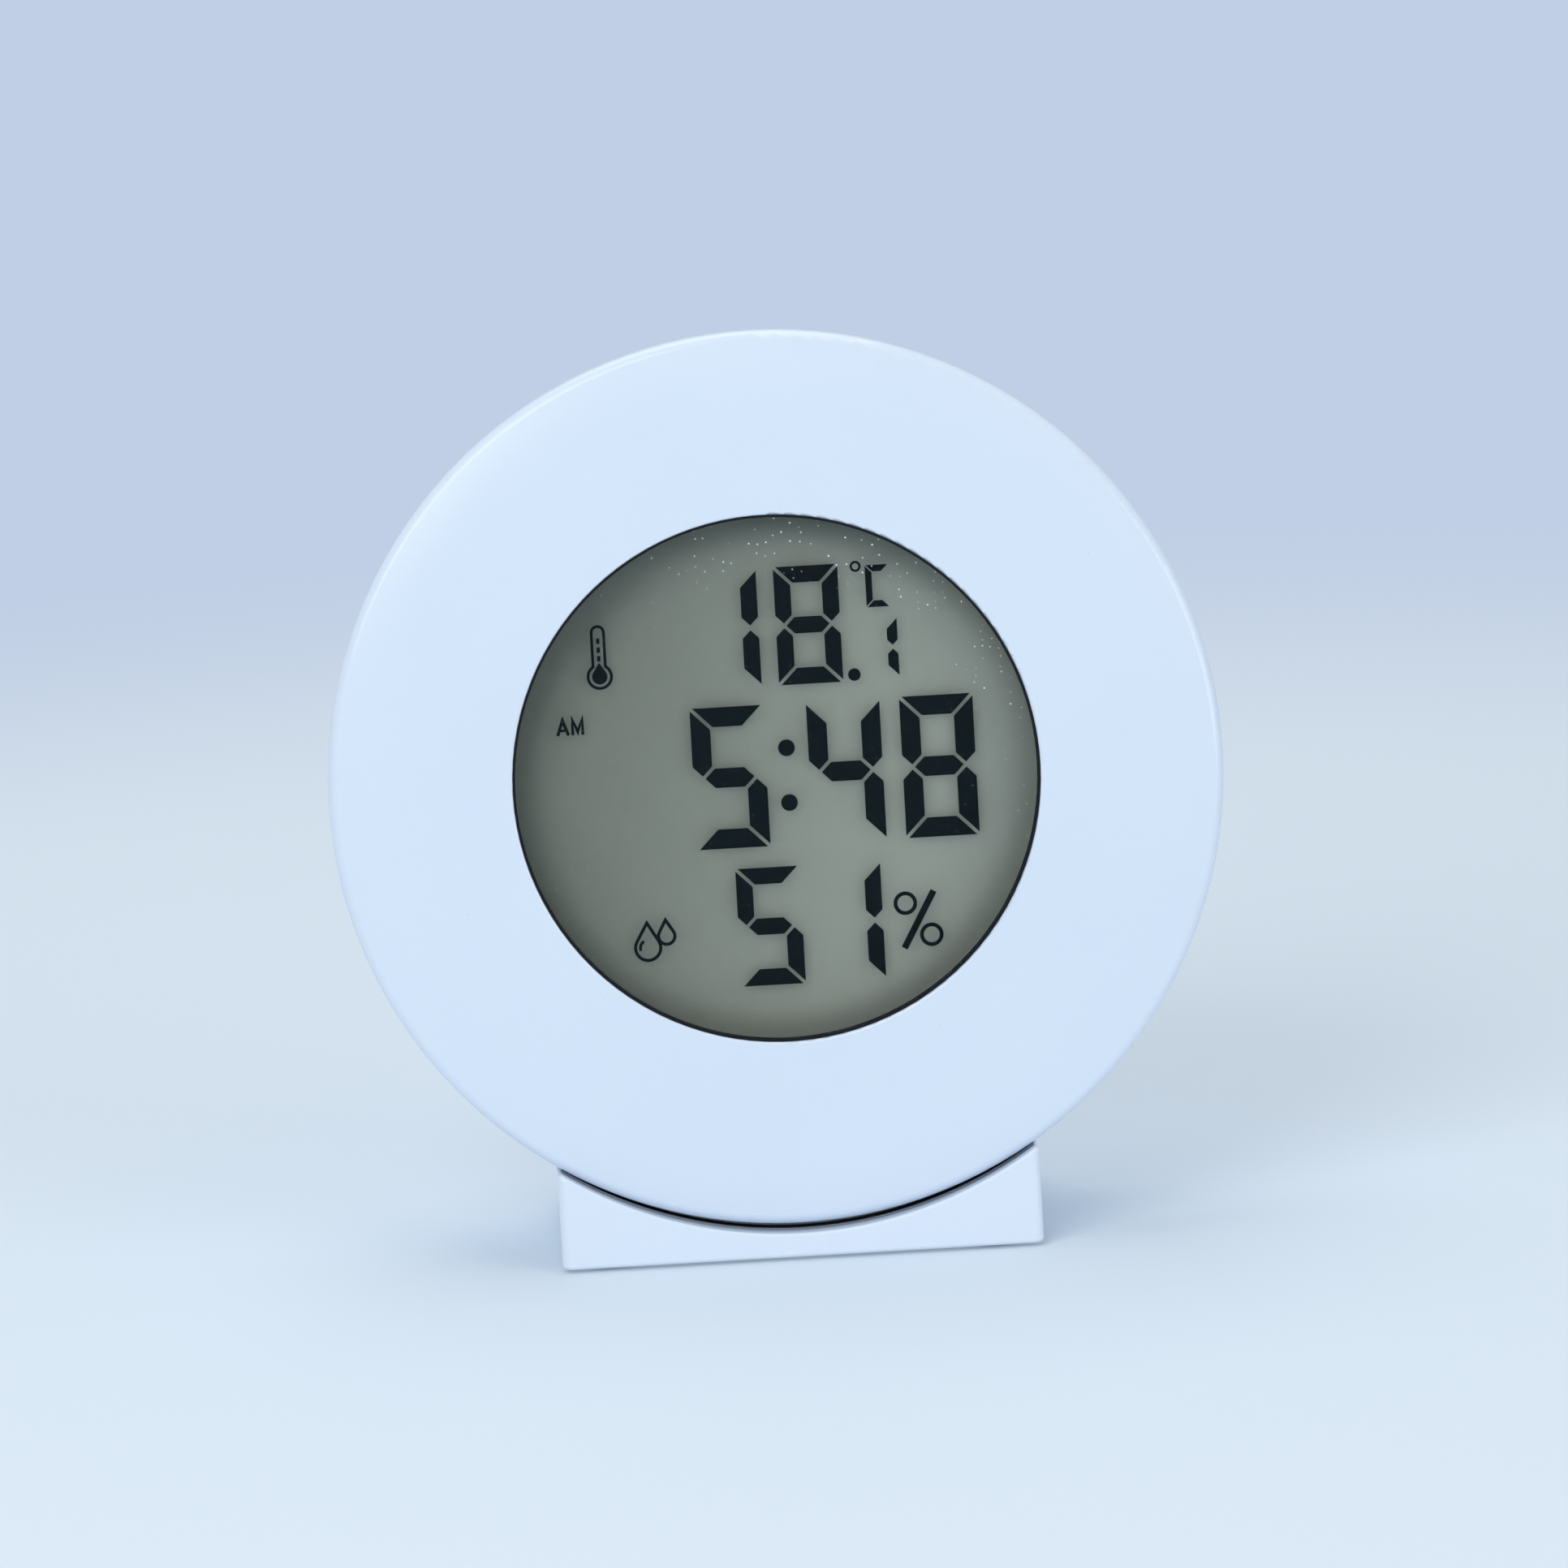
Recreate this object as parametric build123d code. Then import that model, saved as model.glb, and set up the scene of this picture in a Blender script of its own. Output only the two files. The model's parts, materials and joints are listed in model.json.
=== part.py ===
from build123d import *
import os
from math import asin, cos, radians, sin, sqrt

# A round white table clock that shows the time, the temperature and the humidity on a round display.
# It leans back in a small cradle stand and lifts out of it. Its back carries three push buttons and a
# hinged door over two AAA cells.
#
# Lengths are in millimetres and angles in degrees. The clock is drawn upright in a frame of its own:
# X runs to the right, Y is the depth behind the front face and Z runs up the face, from the middle of
# the face. It is then leaned back onto the stand, which is drawn as it stands on the table.

# Clock body
disc_diameter = 102.0
front_depth = 5.5
shell_wall = 2.0
window_diameter = 60.0
lean_angle = 8.0
overrun = 1.0

# Front shell
face_edge_width = 8.0
face_fall = 0.9
rim_corner = 1.3
window_corner = 0.35
seat_ring_wall = 1.6

# Rear shell
parting_step = 0.8
rear_straight = 3.5
rear_turn = 52.0
back_corner = 1.5
spigot_height = 1.5
spigot_wall = 1.7
spigot_root = 1.0
spigot_clearance = 0.1

# Window
gasket_lip = 0.25
gasket_flange = 0.4
gasket_recess = 0.15
lens_recess = 0.35
lens_flange = 1.0
lens_flange_reach = 2.5
lens_clearance = 0.15

# Display
lens_to_glass = 0.25
glass_thickness = 1.1
glass_side_margin = 1.5
glass_height_margin = 1.2
glass_corner_margin = 3.6
contact_ledge = 2.8
reflector_thickness = 0.2
reflector_inset = 0.3

# Display frame
frame_fit = 0.2
frame_wall = 1.4
frame_floor = 0.8
ear_thickness = 1.5
ear_radius = 3.0

# Elastomer strips
strip_width = 2.0
strip_inset = 0.4
strip_end_gap = 1.0
strip_fit = 0.15

# Circuit board
floor_to_board = 1.2
board_thickness = 1.2
board_edge_gap = 3.5
boss_clearance = 0.5

# Board screws and the posts they hold in
post_radius = 2.4
post_gap = 3.0
board_screw_radius = 0.95
board_screw_head_radius = 2.0
board_screw_head = 1.2
board_screw_length = 5.5
screw_fit = 0.1
screw_slack = 0.3
pilot_spare = 0.5
drive_width = 0.5
drive_length = 2.4
drive_depth = 0.6

# Case screws and their bosses
boss_radius = 2.8
boss_gap = 0.9
boss_rise = 1.5
rear_boss_radius = 3.6
well_radius = 2.7
well_depth = 5.0
case_screw_radius = 1.05
case_screw_head_radius = 2.3
case_screw_head = 1.6
case_screw_length = 14.0

# Board components
blob_radius = 4.5
blob_height = 1.2
blob_place = (-13.0, 11.0)
crystal_radius = 1.0
crystal_length = 6.0
crystal_place = (13.0, 11.0)
sensor_side = 5.0
sensor_height = 2.0
sensor_port_radius = 0.8
sensor_port_depth = 0.8
sensor_place = (35.0, 5.0)
chip_width = 3.2
chip_height = 0.9
chip_depth = 1.6
chip_pitch = 5.0
chip_count = 5
chip_row_up = 17.5

# Push buttons and switches
button_pitch = 15.0
button_up = 24.0
button_radius = 3.9
button_rise = 1.2
button_corner = 0.5
button_clearance = 0.25
button_flange_radius = 5.2
button_flange = 1.0
button_rest_gap = 0.1
button_stem_radius = 2.0
button_travel = 0.6
mark_depth = 0.3
mark_radius = 1.9
mark_line = 0.5
switch_side = 6.0
switch_height = 3.5
plunger_radius = 1.75
plunger_clearance = 0.1
plunger_rise = 1.5
plunger_engagement = 0.7
plunger_floor_gap = 0.3

# Cells
cell_diameter = 10.5
cell_length = 43.5
cell_corner = 0.6
nub_radius = 1.9
nub_length = 1.0
cell_gap = 0.7
cell_side_gap = 0.6
cell_floor_gap = 0.25
cell_door_gap = 0.25

# Battery bay
bay_up = -6.0
bay_wall = 1.2
bay_end_room = 2.25
board_to_bay = 1.95

# Battery door
door_thickness = 1.6
door_gap = 0.2
door_end_lap = 2.0
door_top_lap = 2.5
door_seat_gap = 0.1
hinge_barrel_radius = 1.3
hinge_drop = 1.8
hinge_pin_radius = 0.7
hinge_pin_length = 1.4
hinge_pin_clearance = 0.1
surround_margin = 3.0
surround_wall = 1.2
latch_width = 10.0
latch_slot = 1.0
latch_length = 8.0
grip_count = 3
grip_pitch = 1.8
grip_width = 7.0
grip_radius = 0.4
scoop_radius = 6.0
scoop_depth = 1.4

# Vents
vent_count = 5
vent_pitch = 3.0
vent_length = 8.0
vent_width = 1.2
vent_out = 35.0

# Battery contacts
contact_thickness = 0.4
contact_width = 8.0
contact_rise = 4.5
button_boss_radius = 2.5
leaf_width = 5.0
leaf_thickness = 0.35
leaf_span = 7.0
leaf_cell_gap = 0.1
tab_width = 2.4
tab_reach = 1.5
tab_fit = 0.15
tab_rise = 1.2

# Battery leads
lead_radius = 0.6
lead_run = 3.5
lead_bend = 1.6

# Stand
stand_width = 55.0
stand_depth = 36.0
stand_drop = 3.7
lip_gap = 0.9
lip_end_gap = 0.35
lip_lead = 1.0
seat_gap = 0.3
backrest_thickness = 3.0
backrest_drop = 18.0
stand_front_corner = 1.0
stand_rear_corner = 3.0
stand_edge = 0.5
backrest_edge = 1.2
lip_edge = 0.35
core_wall = 2.0
core_height = 7.0
core_count = 3
core_length = 9.5
core_rib = 1.5

# Seat pad
pad_thickness = 0.25
pad_setback = 2.5
pad_inset = 0.5

# Rubber feet
foot_diameter = 7.0
foot_rise = 0.4
foot_recess = 0.8
foot_fit = 0.1
foot_side_inset = 5.5
foot_end_inset = 5.5

# Radii and half sizes that follow
disc_radius = disc_diameter / 2
window_radius = window_diameter / 2
rear_radius = disc_radius - parting_step
cell_radius = cell_diameter / 2
foot_radius = foot_diameter / 2

# Depths of the layers, front to back
gasket_back = shell_wall + gasket_flange
lens_back = gasket_back + lens_flange
glass_front = lens_back + lens_to_glass
glass_middle = glass_front + glass_thickness
glass_back = glass_middle + glass_thickness
reflector_back = glass_back + reflector_thickness
frame_floor_back = reflector_back + frame_floor
board_front = frame_floor_back + floor_to_board
board_back = board_front + board_thickness
ear_front = board_front - ear_thickness
boss_meeting = board_back + boss_rise
bay_floor = board_back + board_to_bay + bay_wall
cell_depth = bay_floor + cell_floor_gap + cell_radius
door_inside = cell_depth + cell_radius + cell_door_gap
body_depth = door_inside + door_thickness
back_inside = body_depth - shell_wall
button_seat = back_inside - button_rest_gap
switch_back = board_back + switch_height
plunger_back = switch_back + plunger_rise
well_floor = body_depth - well_depth

# Outlines of the display and its frame
lens_radius = window_radius - gasket_lip
flange_radius = window_radius + lens_flange_reach
glass_half_width = window_radius + glass_side_margin
rear_glass_half_height = window_radius + glass_height_margin
front_glass_half_height = rear_glass_half_height + contact_ledge
glass_corner_reach = window_radius + glass_corner_margin
pocket_half_width = glass_half_width + frame_fit
pocket_half_height = front_glass_half_height + frame_fit
pocket_corner_reach = glass_corner_reach + frame_fit
strip_up = rear_glass_half_height + strip_inset + strip_width / 2
strip_half_length = sqrt(2) * glass_corner_reach - strip_up - strip_width / 2 - strip_end_gap

# Circles that the posts and bosses stand on, the posts at the sides and the bosses on the diagonals
post_circle = pocket_half_height + frame_wall + post_gap + post_radius
boss_circle = pocket_corner_reach + frame_wall + boss_gap + boss_radius
board_radius = disc_radius - shell_wall - board_edge_gap
boss_step = boss_circle / sqrt(2)
post_places = [(post_circle, 0), (0, post_circle), (-post_circle, 0), (0, -post_circle)]
boss_places = [(x, up) for x in (-boss_step, boss_step) for up in (-boss_step, boss_step)]

# Battery bay, door and hinge
cell_pitch = cell_diameter + cell_gap
bay_half_length = (cell_length + nub_length) / 2 + bay_end_room
bay_half_height = cell_pitch / 2 + cell_radius + cell_side_gap
bay_top = bay_up + bay_half_height
bay_bottom = bay_up - bay_half_height
upper_cell_up = bay_up + cell_pitch / 2
lower_cell_up = bay_up - cell_pitch / 2
door_half_width = bay_half_length + door_end_lap
door_top = bay_top + door_top_lap
hinge_depth = body_depth - hinge_barrel_radius
hinge_up = bay_bottom - hinge_drop
hinge_bottom = hinge_up - hinge_barrel_radius
opening_half_width = door_half_width + door_gap
opening_top = door_top + door_gap
opening_bottom = hinge_bottom - door_gap
trough_floor = hinge_depth - hinge_barrel_radius - door_gap
surround_front = trough_floor - surround_wall

# Rounded back of the rear shell
round_start = front_depth + rear_straight
round_reach = body_depth - round_start
round_radius = round_reach / sin(radians(rear_turn))

# Arc of the lip, which comes nearer to the disc towards its ends
lip_half = stand_width / 2 + overrun
lip_end_up = -sqrt((disc_radius + lip_end_gap) ** 2 - lip_half**2)
lip_rise = lip_end_up + disc_radius + lip_gap
lip_radius = (lip_half**2 + lip_rise**2) / (2 * lip_rise)
lip_drop = disc_radius + lip_gap - lip_radius

# Lean of the clock and where its face stands
lean_sin = sin(radians(lean_angle))
lean_cos = cos(radians(lean_angle))
stand_foot_up = -(disc_radius + stand_drop)
backrest_front = body_depth + seat_gap
backrest_up = backrest_drop - disc_radius
face_y = -stand_depth / 2 - stand_foot_up * lean_sin + lip_lead * lean_cos
face_z = foot_rise - stand_foot_up * lean_cos - lip_lead * lean_sin
clock_place = Pos(0, face_y, face_z) * Rot(-lean_angle, 0, 0)


# Shared shapes

def block(low, high):
    """A rectangular block from its lowest to its highest corner."""
    spans = [b - a for a, b in zip(low, high)]
    middle = [(a + b) / 2 for a, b in zip(low, high)]
    return Pos(*middle) * Box(*spans)


def rod(radius, start, end, place=(0, 0)):
    """A round bar along the depth, between two depths, at a place on the face."""
    across, up = place
    foot = (Align.CENTER, Align.CENTER, Align.MIN)
    return Pos(across, start, up) * Rot(-90, 0, 0) * Cylinder(radius, end - start, align=foot)


def bar(radius, start, end, depth, up):
    """A round bar along X, between two places across the face."""
    foot = (Align.CENTER, Align.CENTER, Align.MIN)
    return Pos(start, depth, up) * Rot(0, 90, 0) * Cylinder(radius, end - start, align=foot)


def plate(outline, start, end):
    """An outline drawn on the face, x to the right and y up, filled between two depths."""
    return extrude(Plane.XZ.offset(-start) * outline, start - end)


def turned(outline):
    """An outline of radius and depth, turned about the axis of the clock."""
    return revolve(outline, Axis.Y)


def tube(inner, outer, start, end):
    """A round sleeve about the axis of the clock."""
    return rod(outer, start, end) - rod(inner, start - overrun, end + overrun)


def softened(outline, corner, radius):
    """The outline with the corner nearest to a point rounded off."""
    return fillet(outline.vertices().sort_by_distance(corner)[0], radius)


def cut_corner_sheet(half_width, half_height, corner_reach):
    """A rectangle with its corners cut across the diagonals at one distance from the middle."""
    cut = half_width + half_height - sqrt(2) * corner_reach
    return chamfer(Rectangle(2 * half_width, 2 * half_height).vertices(), cut)


def arc_end(radius, reach):
    """How far a back edge of this radius has come in where it has gone back by the reach."""
    return radius - radius * cos(asin(reach / radius))


def back_outline(margin, front, back):
    """Half section of the rounded back, grown by a margin, from one depth to a flat back."""
    radius = round_radius + margin
    side = rear_radius + margin
    edge = side - arc_end(radius, back - round_start)
    flank = Polyline((0, back), (0, front), (side, front), (side, round_start))
    rounding = TangentArc((side, round_start), (edge, back), tangent=(0, 1))
    return make_face(flank + rounding + Line((edge, back), (0, back)))


# Case of the clock

def front_shell():
    """The face with its window, the rim, the ring the display sits on, the bosses and the posts."""
    flat_edge = (disc_radius - face_edge_width, 0)
    rim = (disc_radius, face_fall)
    inside = disc_radius - shell_wall
    face = Line((window_radius, 0), flat_edge) + TangentArc(flat_edge, rim, tangent=(1, 0))
    sides = Polyline(
        rim,
        (disc_radius, front_depth),
        (inside, front_depth),
        (inside, shell_wall),
        (window_radius, shell_wall),
        (window_radius, 0),
    )
    outline = softened(make_face(face + sides), rim, rim_corner)
    shell = turned(softened(outline, (window_radius, 0), window_corner))
    ring = flange_radius + lens_clearance
    shell += tube(ring, ring + seat_ring_wall, shell_wall, glass_front)
    for place in boss_places:
        shell += rod(boss_radius, shell_wall, boss_meeting, place)
        bottom = well_floor - case_screw_length - pilot_spare
        shell -= rod(case_screw_radius + screw_fit, bottom, boss_meeting + overrun, place)
    for place in post_places:
        shell += rod(post_radius, shell_wall, ear_front, place)
        bottom = board_back - board_screw_length - pilot_spare
        shell -= rod(board_screw_radius + screw_fit, bottom, ear_front + overrun, place)
    return shell


def rear_shell():
    """The rounded back with its battery bay, door seat, button holes, vents and screw wells."""
    outline = back_outline(0, front_depth, body_depth)
    edge = rear_radius - arc_end(round_radius, round_reach)
    shell = turned(softened(outline, (edge, body_depth), back_corner))
    shell -= turned(back_outline(-shell_wall, front_depth - overrun, back_inside))
    spigot = disc_radius - shell_wall - spigot_clearance
    shell += tube(spigot - spigot_wall, spigot, front_depth - spigot_height, front_depth + spigot_root)
    for place in boss_places:
        shell += rod(rear_boss_radius, boss_meeting, back_inside, place)
    shell += bay_walls()
    shell -= bay_hollow()
    for place in boss_places:
        shell -= rod(case_screw_radius + screw_slack, boss_meeting - overrun, body_depth, place)
        shell -= rod(well_radius, well_floor, body_depth + overrun, place)
    for across in (-button_pitch, 0, button_pitch):
        hole = button_radius + button_clearance
        shell -= rod(hole, back_inside - overrun, body_depth + overrun, (across, button_up))
    shell -= vents()
    return shell


def bay_walls():
    """The walls of the battery bay and the thick surround that the door sits in."""
    sides = bay_half_length + bay_wall
    walls = block(
        (-sides, bay_floor - bay_wall, bay_bottom - bay_wall),
        (sides, back_inside, bay_top + bay_wall),
    )
    reach = opening_half_width + surround_margin
    surround = block(
        (-reach, surround_front, opening_bottom - surround_wall),
        (reach, back_inside, opening_top + surround_margin),
    )
    return walls + surround


def bay_hollow():
    """The room for the cells, the door opening, the hinge trough and holes, the scoop and tab slots."""
    room = block(
        (-bay_half_length, bay_floor, bay_bottom),
        (bay_half_length, body_depth + overrun, bay_top),
    )
    seat = block(
        (-opening_half_width, door_inside - door_seat_gap, hinge_up),
        (opening_half_width, body_depth + overrun, opening_top),
    )
    trough = block(
        (-opening_half_width, trough_floor, opening_bottom),
        (opening_half_width, body_depth + overrun, hinge_up + hinge_barrel_radius + door_gap),
    )
    pin_reach = door_half_width + hinge_pin_length + door_gap
    pins = bar(hinge_pin_radius + hinge_pin_clearance, -pin_reach, pin_reach, hinge_depth, hinge_up)
    scoop_bottom = body_depth + scoop_radius - scoop_depth
    scoop = Pos(0, scoop_bottom, door_top) * Sphere(scoop_radius)
    slots = tab_slot(upper_cell_up) + tab_slot(lower_cell_up)
    return room + seat + trough + pins + scoop + slots


def tab_slot(up):
    """The slot in the end wall of the bay that a contact tab passes through."""
    half = tab_width / 2 + tab_fit
    depth = bay_floor + tab_rise
    return block(
        (bay_half_length - overrun, depth - tab_fit, up - half),
        (bay_half_length + bay_wall + overrun, depth + contact_thickness + tab_fit, up + half),
    )


def vents():
    """Two columns of slots, one on each side of the battery bay."""
    slots = []
    for side in (-1, 1):
        for step in range(vent_count):
            up = (step - (vent_count - 1) / 2) * vent_pitch
            outline = Pos(side * vent_out, up) * SlotOverall(vent_length, vent_width)
            slots.append(plate(outline, back_inside - overrun, body_depth + overrun))
    return slots


# Window and display

def window_lens():
    """The clear window: a plug that fills the opening and a flange behind the face."""
    return rod(lens_radius, lens_recess, lens_back) + rod(flange_radius, gasket_back, lens_back)


def window_gasket():
    """The black ring around the window: a lip in the opening and a flange behind the face."""
    lip = tube(lens_radius, window_radius, gasket_recess, gasket_back)
    return lip + tube(lens_radius, flange_radius, shell_wall, gasket_back)


def lcd_front_glass():
    """The front glass of the display, taller than the rear glass by a contact ledge at each end."""
    outline = cut_corner_sheet(glass_half_width, front_glass_half_height, glass_corner_reach)
    return plate(outline, glass_front, glass_middle)


def lcd_rear_glass():
    """The rear glass of the display."""
    outline = cut_corner_sheet(glass_half_width, rear_glass_half_height, glass_corner_reach)
    return plate(outline, glass_middle, glass_back)


def lcd_reflector():
    """The grey film behind the display that returns the light."""
    half_width = glass_half_width - reflector_inset
    half_height = rear_glass_half_height - reflector_inset
    outline = cut_corner_sheet(half_width, half_height, glass_corner_reach - reflector_inset)
    return plate(outline, glass_back, reflector_back)


def lcd_frame():
    """The frame that holds the display to the face: walls, a floor, strip slots and four ears."""
    pocket = cut_corner_sheet(pocket_half_width, pocket_half_height, pocket_corner_reach)
    outer = cut_corner_sheet(
        pocket_half_width + frame_wall, pocket_half_height + frame_wall, pocket_corner_reach + frame_wall
    )
    frame = plate(outer - pocket, glass_front, board_front)
    frame += plate(outer, reflector_back, frame_floor_back)
    for quarter in range(4):
        start = pocket_half_height if quarter % 2 else pocket_half_width
        reach = post_circle - start
        arm = Pos(start + reach / 2, 0) * Rectangle(reach, 2 * ear_radius)
        ear = arm + Pos(post_circle, 0) * Circle(ear_radius)
        ear -= Pos(post_circle, 0) * Circle(board_screw_radius + screw_slack)
        frame += plate(Rot(0, 0, 90 * quarter) * ear, ear_front, board_front)
    for side in (-1, 1):
        slot = Rectangle(2 * (strip_half_length + strip_fit), strip_width + 2 * strip_fit)
        frame -= plate(Pos(0, side * strip_up) * slot, reflector_back - overrun, board_front + overrun)
    return frame


def elastomer_strips():
    """The two striped contact strips between the ledges of the glass and the board."""
    strips = []
    for side in (-1, 1):
        outline = Pos(0, side * strip_up) * Rectangle(2 * strip_half_length, strip_width)
        strips.append(plate(outline, glass_middle, board_front))
    return strips


# Board

def circuit_board():
    """The round board, open where the bosses pass and drilled for its screws."""
    outline = Circle(board_radius)
    for place in boss_places:
        outline -= Pos(*place) * Circle(boss_radius + boss_clearance)
    for place in post_places:
        outline -= Pos(*place) * Circle(board_screw_radius + screw_slack)
    return plate(outline, board_front, board_back)


def controller_blob():
    """The drop of epoxy over the controller, a cap of a sphere."""
    across, up = blob_place
    radius = (blob_radius**2 + blob_height**2) / (2 * blob_height)
    ball = Pos(across, board_back + blob_height - radius, up) * Sphere(radius)
    return ball & rod(2 * blob_radius, board_back, board_back + 2 * blob_height, blob_place)


def crystal_can():
    """The round can of the timing crystal, lying on the board."""
    across, up = crystal_place
    half = crystal_length / 2
    return bar(crystal_radius, across - half, across + half, board_back + crystal_radius, up)


def humidity_sensor():
    """The square temperature and humidity sensor with its round port."""
    top = board_back + sensor_height
    body = plate(Pos(*sensor_place) * Rectangle(sensor_side, sensor_side), board_back, top)
    return body - rod(sensor_port_radius, top - sensor_port_depth, top + overrun, sensor_place)


def surface_mount_parts():
    """A row of small chips on the back of the board."""
    chips = []
    for step in range(chip_count):
        across = (step - (chip_count - 1) / 2) * chip_pitch
        outline = Pos(across, chip_row_up) * Rectangle(chip_width, chip_depth)
        chips.append(plate(outline, board_back, board_back + chip_height))
    return chips


def board_screws():
    """The screws that hold the board and the display frame to the posts."""
    sizes = (board_screw_radius, board_screw_length, board_screw_head_radius, board_screw_head)
    return [screw(place, board_back, *sizes) for place in post_places]


def case_screws():
    """The screws that hold the two shells together."""
    sizes = (case_screw_radius, case_screw_length, case_screw_head_radius, case_screw_head)
    return [screw(place, well_floor, *sizes) for place in boss_places]


def screw(place, seat, radius, length, head_radius, head):
    """A screw driven from the back, with a cross recess in its head."""
    body = rod(radius, seat - length, seat, place) + rod(head_radius, seat, seat + head, place)
    bottom = seat + head - drive_depth
    for turn in (0, 90):
        outline = Pos(*place) * Rot(0, 0, turn) * Rectangle(drive_length, drive_width)
        body -= plate(outline, bottom, seat + head + overrun)
    return body


# Buttons and switches

def switch_bodies():
    """The square housings of the three push switches, each with a round well for its plunger."""
    housings = []
    for across in (-button_pitch, 0, button_pitch):
        place = (across, button_up)
        well_bottom = switch_back - plunger_engagement - button_travel - plunger_floor_gap
        housing = plate(Pos(*place) * Rectangle(switch_side, switch_side), board_back, switch_back)
        housing -= rod(plunger_radius + plunger_clearance, well_bottom, switch_back + overrun, place)
        housings.append(housing)
    return housings


def plunger(across):
    """The plunger of one switch."""
    return rod(plunger_radius, switch_back - plunger_engagement, plunger_back, (across, button_up))


def button(across, mark):
    """One button: a cap through the back, a flange that keeps it in and a stem down to its switch."""
    place = (across, button_up)
    crown = body_depth + button_rise
    cap = rod(button_radius, button_seat, crown, place)
    cap = fillet(cap.edges().sort_by(Axis.Y)[-1], button_corner)
    body = cap + rod(button_flange_radius, button_seat - button_flange, button_seat, place)
    body += rod(button_stem_radius, plunger_back, button_seat, place)
    return body - plate(Pos(*place) * mark, crown - mark_depth, crown + overrun)


def set_button():
    """The middle button, marked with a ring."""
    return button(0, Circle(mark_radius) - Circle(mark_radius - mark_line))


def up_button():
    """The button marked with an upward triangle."""
    return button(-button_pitch, Rot(0, 0, 90) * RegularPolygon(mark_radius, 3))


def down_button():
    """The button marked with a downward triangle."""
    return button(button_pitch, Rot(0, 0, -90) * RegularPolygon(mark_radius, 3))


# Cells, contacts and leads

def cell(up, side):
    """One AAA cell on its side, its raised end towards the given side."""
    half = (cell_length + nub_length) / 2
    place = Pos(0, cell_depth, up) * Rot(0, 90 * side, 0) * Pos(0, 0, -half)
    can = Cylinder(cell_radius, cell_length, align=(Align.CENTER, Align.CENTER, Align.MIN))
    can = fillet(can.edges().filter_by(GeomType.CIRCLE), cell_corner)
    nub = Cylinder(nub_radius, cell_length + nub_length, align=(Align.CENTER, Align.CENTER, Align.MIN))
    return place * (can + nub)


def contact_plate(low_up, high_up, side):
    """A flat plate on one end wall of the bay."""
    inner = bay_half_length - contact_thickness
    top = cell_depth + contact_rise
    ends = sorted((side * inner, side * bay_half_length))
    return block((ends[0], bay_floor + tab_rise, low_up), (ends[1], top, high_up))


def contact_boss(up, side):
    """The raised round on a plate that meets the nub of a cell."""
    tip = (cell_length + nub_length) / 2
    ends = sorted((side * tip, side * bay_half_length))
    return bar(button_boss_radius, ends[0], ends[1], cell_depth, up)


def contact_leaf(up, side):
    """The bent leaf on a plate that presses on the flat end of a cell."""
    root = bay_half_length - contact_thickness / 2
    tip = (cell_length + nub_length) / 2 + leaf_cell_gap + leaf_thickness
    low = (side * root, cell_depth - leaf_span / 2)
    peak = (side * tip, cell_depth)
    high = (side * root, cell_depth + leaf_span / 2)
    strip = trace(Polyline(low, peak, high), leaf_thickness)
    return Pos(0, 0, up - leaf_width / 2) * extrude(strip, leaf_width)


def contact_tab(up):
    """The solder tab that passes through the end wall to the inside of the clock."""
    half = tab_width / 2
    depth = bay_floor + tab_rise
    end = bay_half_length + bay_wall + tab_reach
    return block(
        (bay_half_length - contact_thickness, depth, up - half),
        (end, depth + contact_thickness, up + half),
    )


def contact_bridge():
    """The plate that joins the flat end of the upper cell to the nub of the lower one."""
    half = contact_width / 2
    bridge = contact_plate(lower_cell_up - half, upper_cell_up + half, -1)
    return bridge + contact_leaf(upper_cell_up, -1) + contact_boss(lower_cell_up, -1)


def positive_contact():
    """The plate at the nub of the upper cell, with its tab."""
    half = contact_width / 2
    body = contact_plate(upper_cell_up - half, upper_cell_up + half, 1)
    return body + contact_boss(upper_cell_up, 1) + contact_tab(upper_cell_up)


def negative_contact():
    """The plate at the flat end of the lower cell, with its leaf and tab."""
    half = contact_width / 2
    body = contact_plate(lower_cell_up - half, lower_cell_up + half, 1)
    return body + contact_leaf(lower_cell_up, 1) + contact_tab(lower_cell_up)


def lead(up):
    """A wire from a contact tab out to the side and forward to the board."""
    start = bay_half_length + bay_wall + tab_reach
    depth = bay_floor + tab_rise + contact_thickness / 2
    turn = start + lead_run
    path = FilletPolyline((start, depth, up), (turn, depth, up), (turn, board_back, up), radius=lead_bend)
    return sweep(Plane((start, depth, up), z_dir=(1, 0, 0)) * Circle(lead_radius), path)


# Battery door

def battery_door():
    """The door: a plate with a round hinge edge, two pins, a springy latch tongue and grip ribs."""
    body = block((-door_half_width, door_inside, hinge_up), (door_half_width, body_depth, door_top))
    body += bar(hinge_barrel_radius, -door_half_width, door_half_width, hinge_depth, hinge_up)
    reach = door_half_width + hinge_pin_length
    body += bar(hinge_pin_radius, -reach, reach, hinge_depth, hinge_up)
    for side in (-1, 1):
        middle = side * (latch_width + latch_slot) / 2
        body -= block(
            (middle - latch_slot / 2, door_inside - overrun, door_top - latch_length),
            (middle + latch_slot / 2, body_depth + overrun, door_top + overrun),
        )
    for step in range(grip_count):
        up = door_top - latch_length / 2 + (step - (grip_count - 1) / 2) * grip_pitch
        body += bar(grip_radius, -grip_width / 2, grip_width / 2, body_depth, up)
    return body


# Stand

def on_table(depth, up):
    """The place on the table frame, as Y and Z, of a depth and height of the leaning clock."""
    return (face_y + up * lean_sin + depth * lean_cos, face_z + up * lean_cos - depth * lean_sin)


def at_height(depth, height):
    """The point at a height over the table on the leaning plane of one depth."""
    up = (height - face_z + depth * lean_sin) / lean_cos
    return on_table(depth, up)


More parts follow.
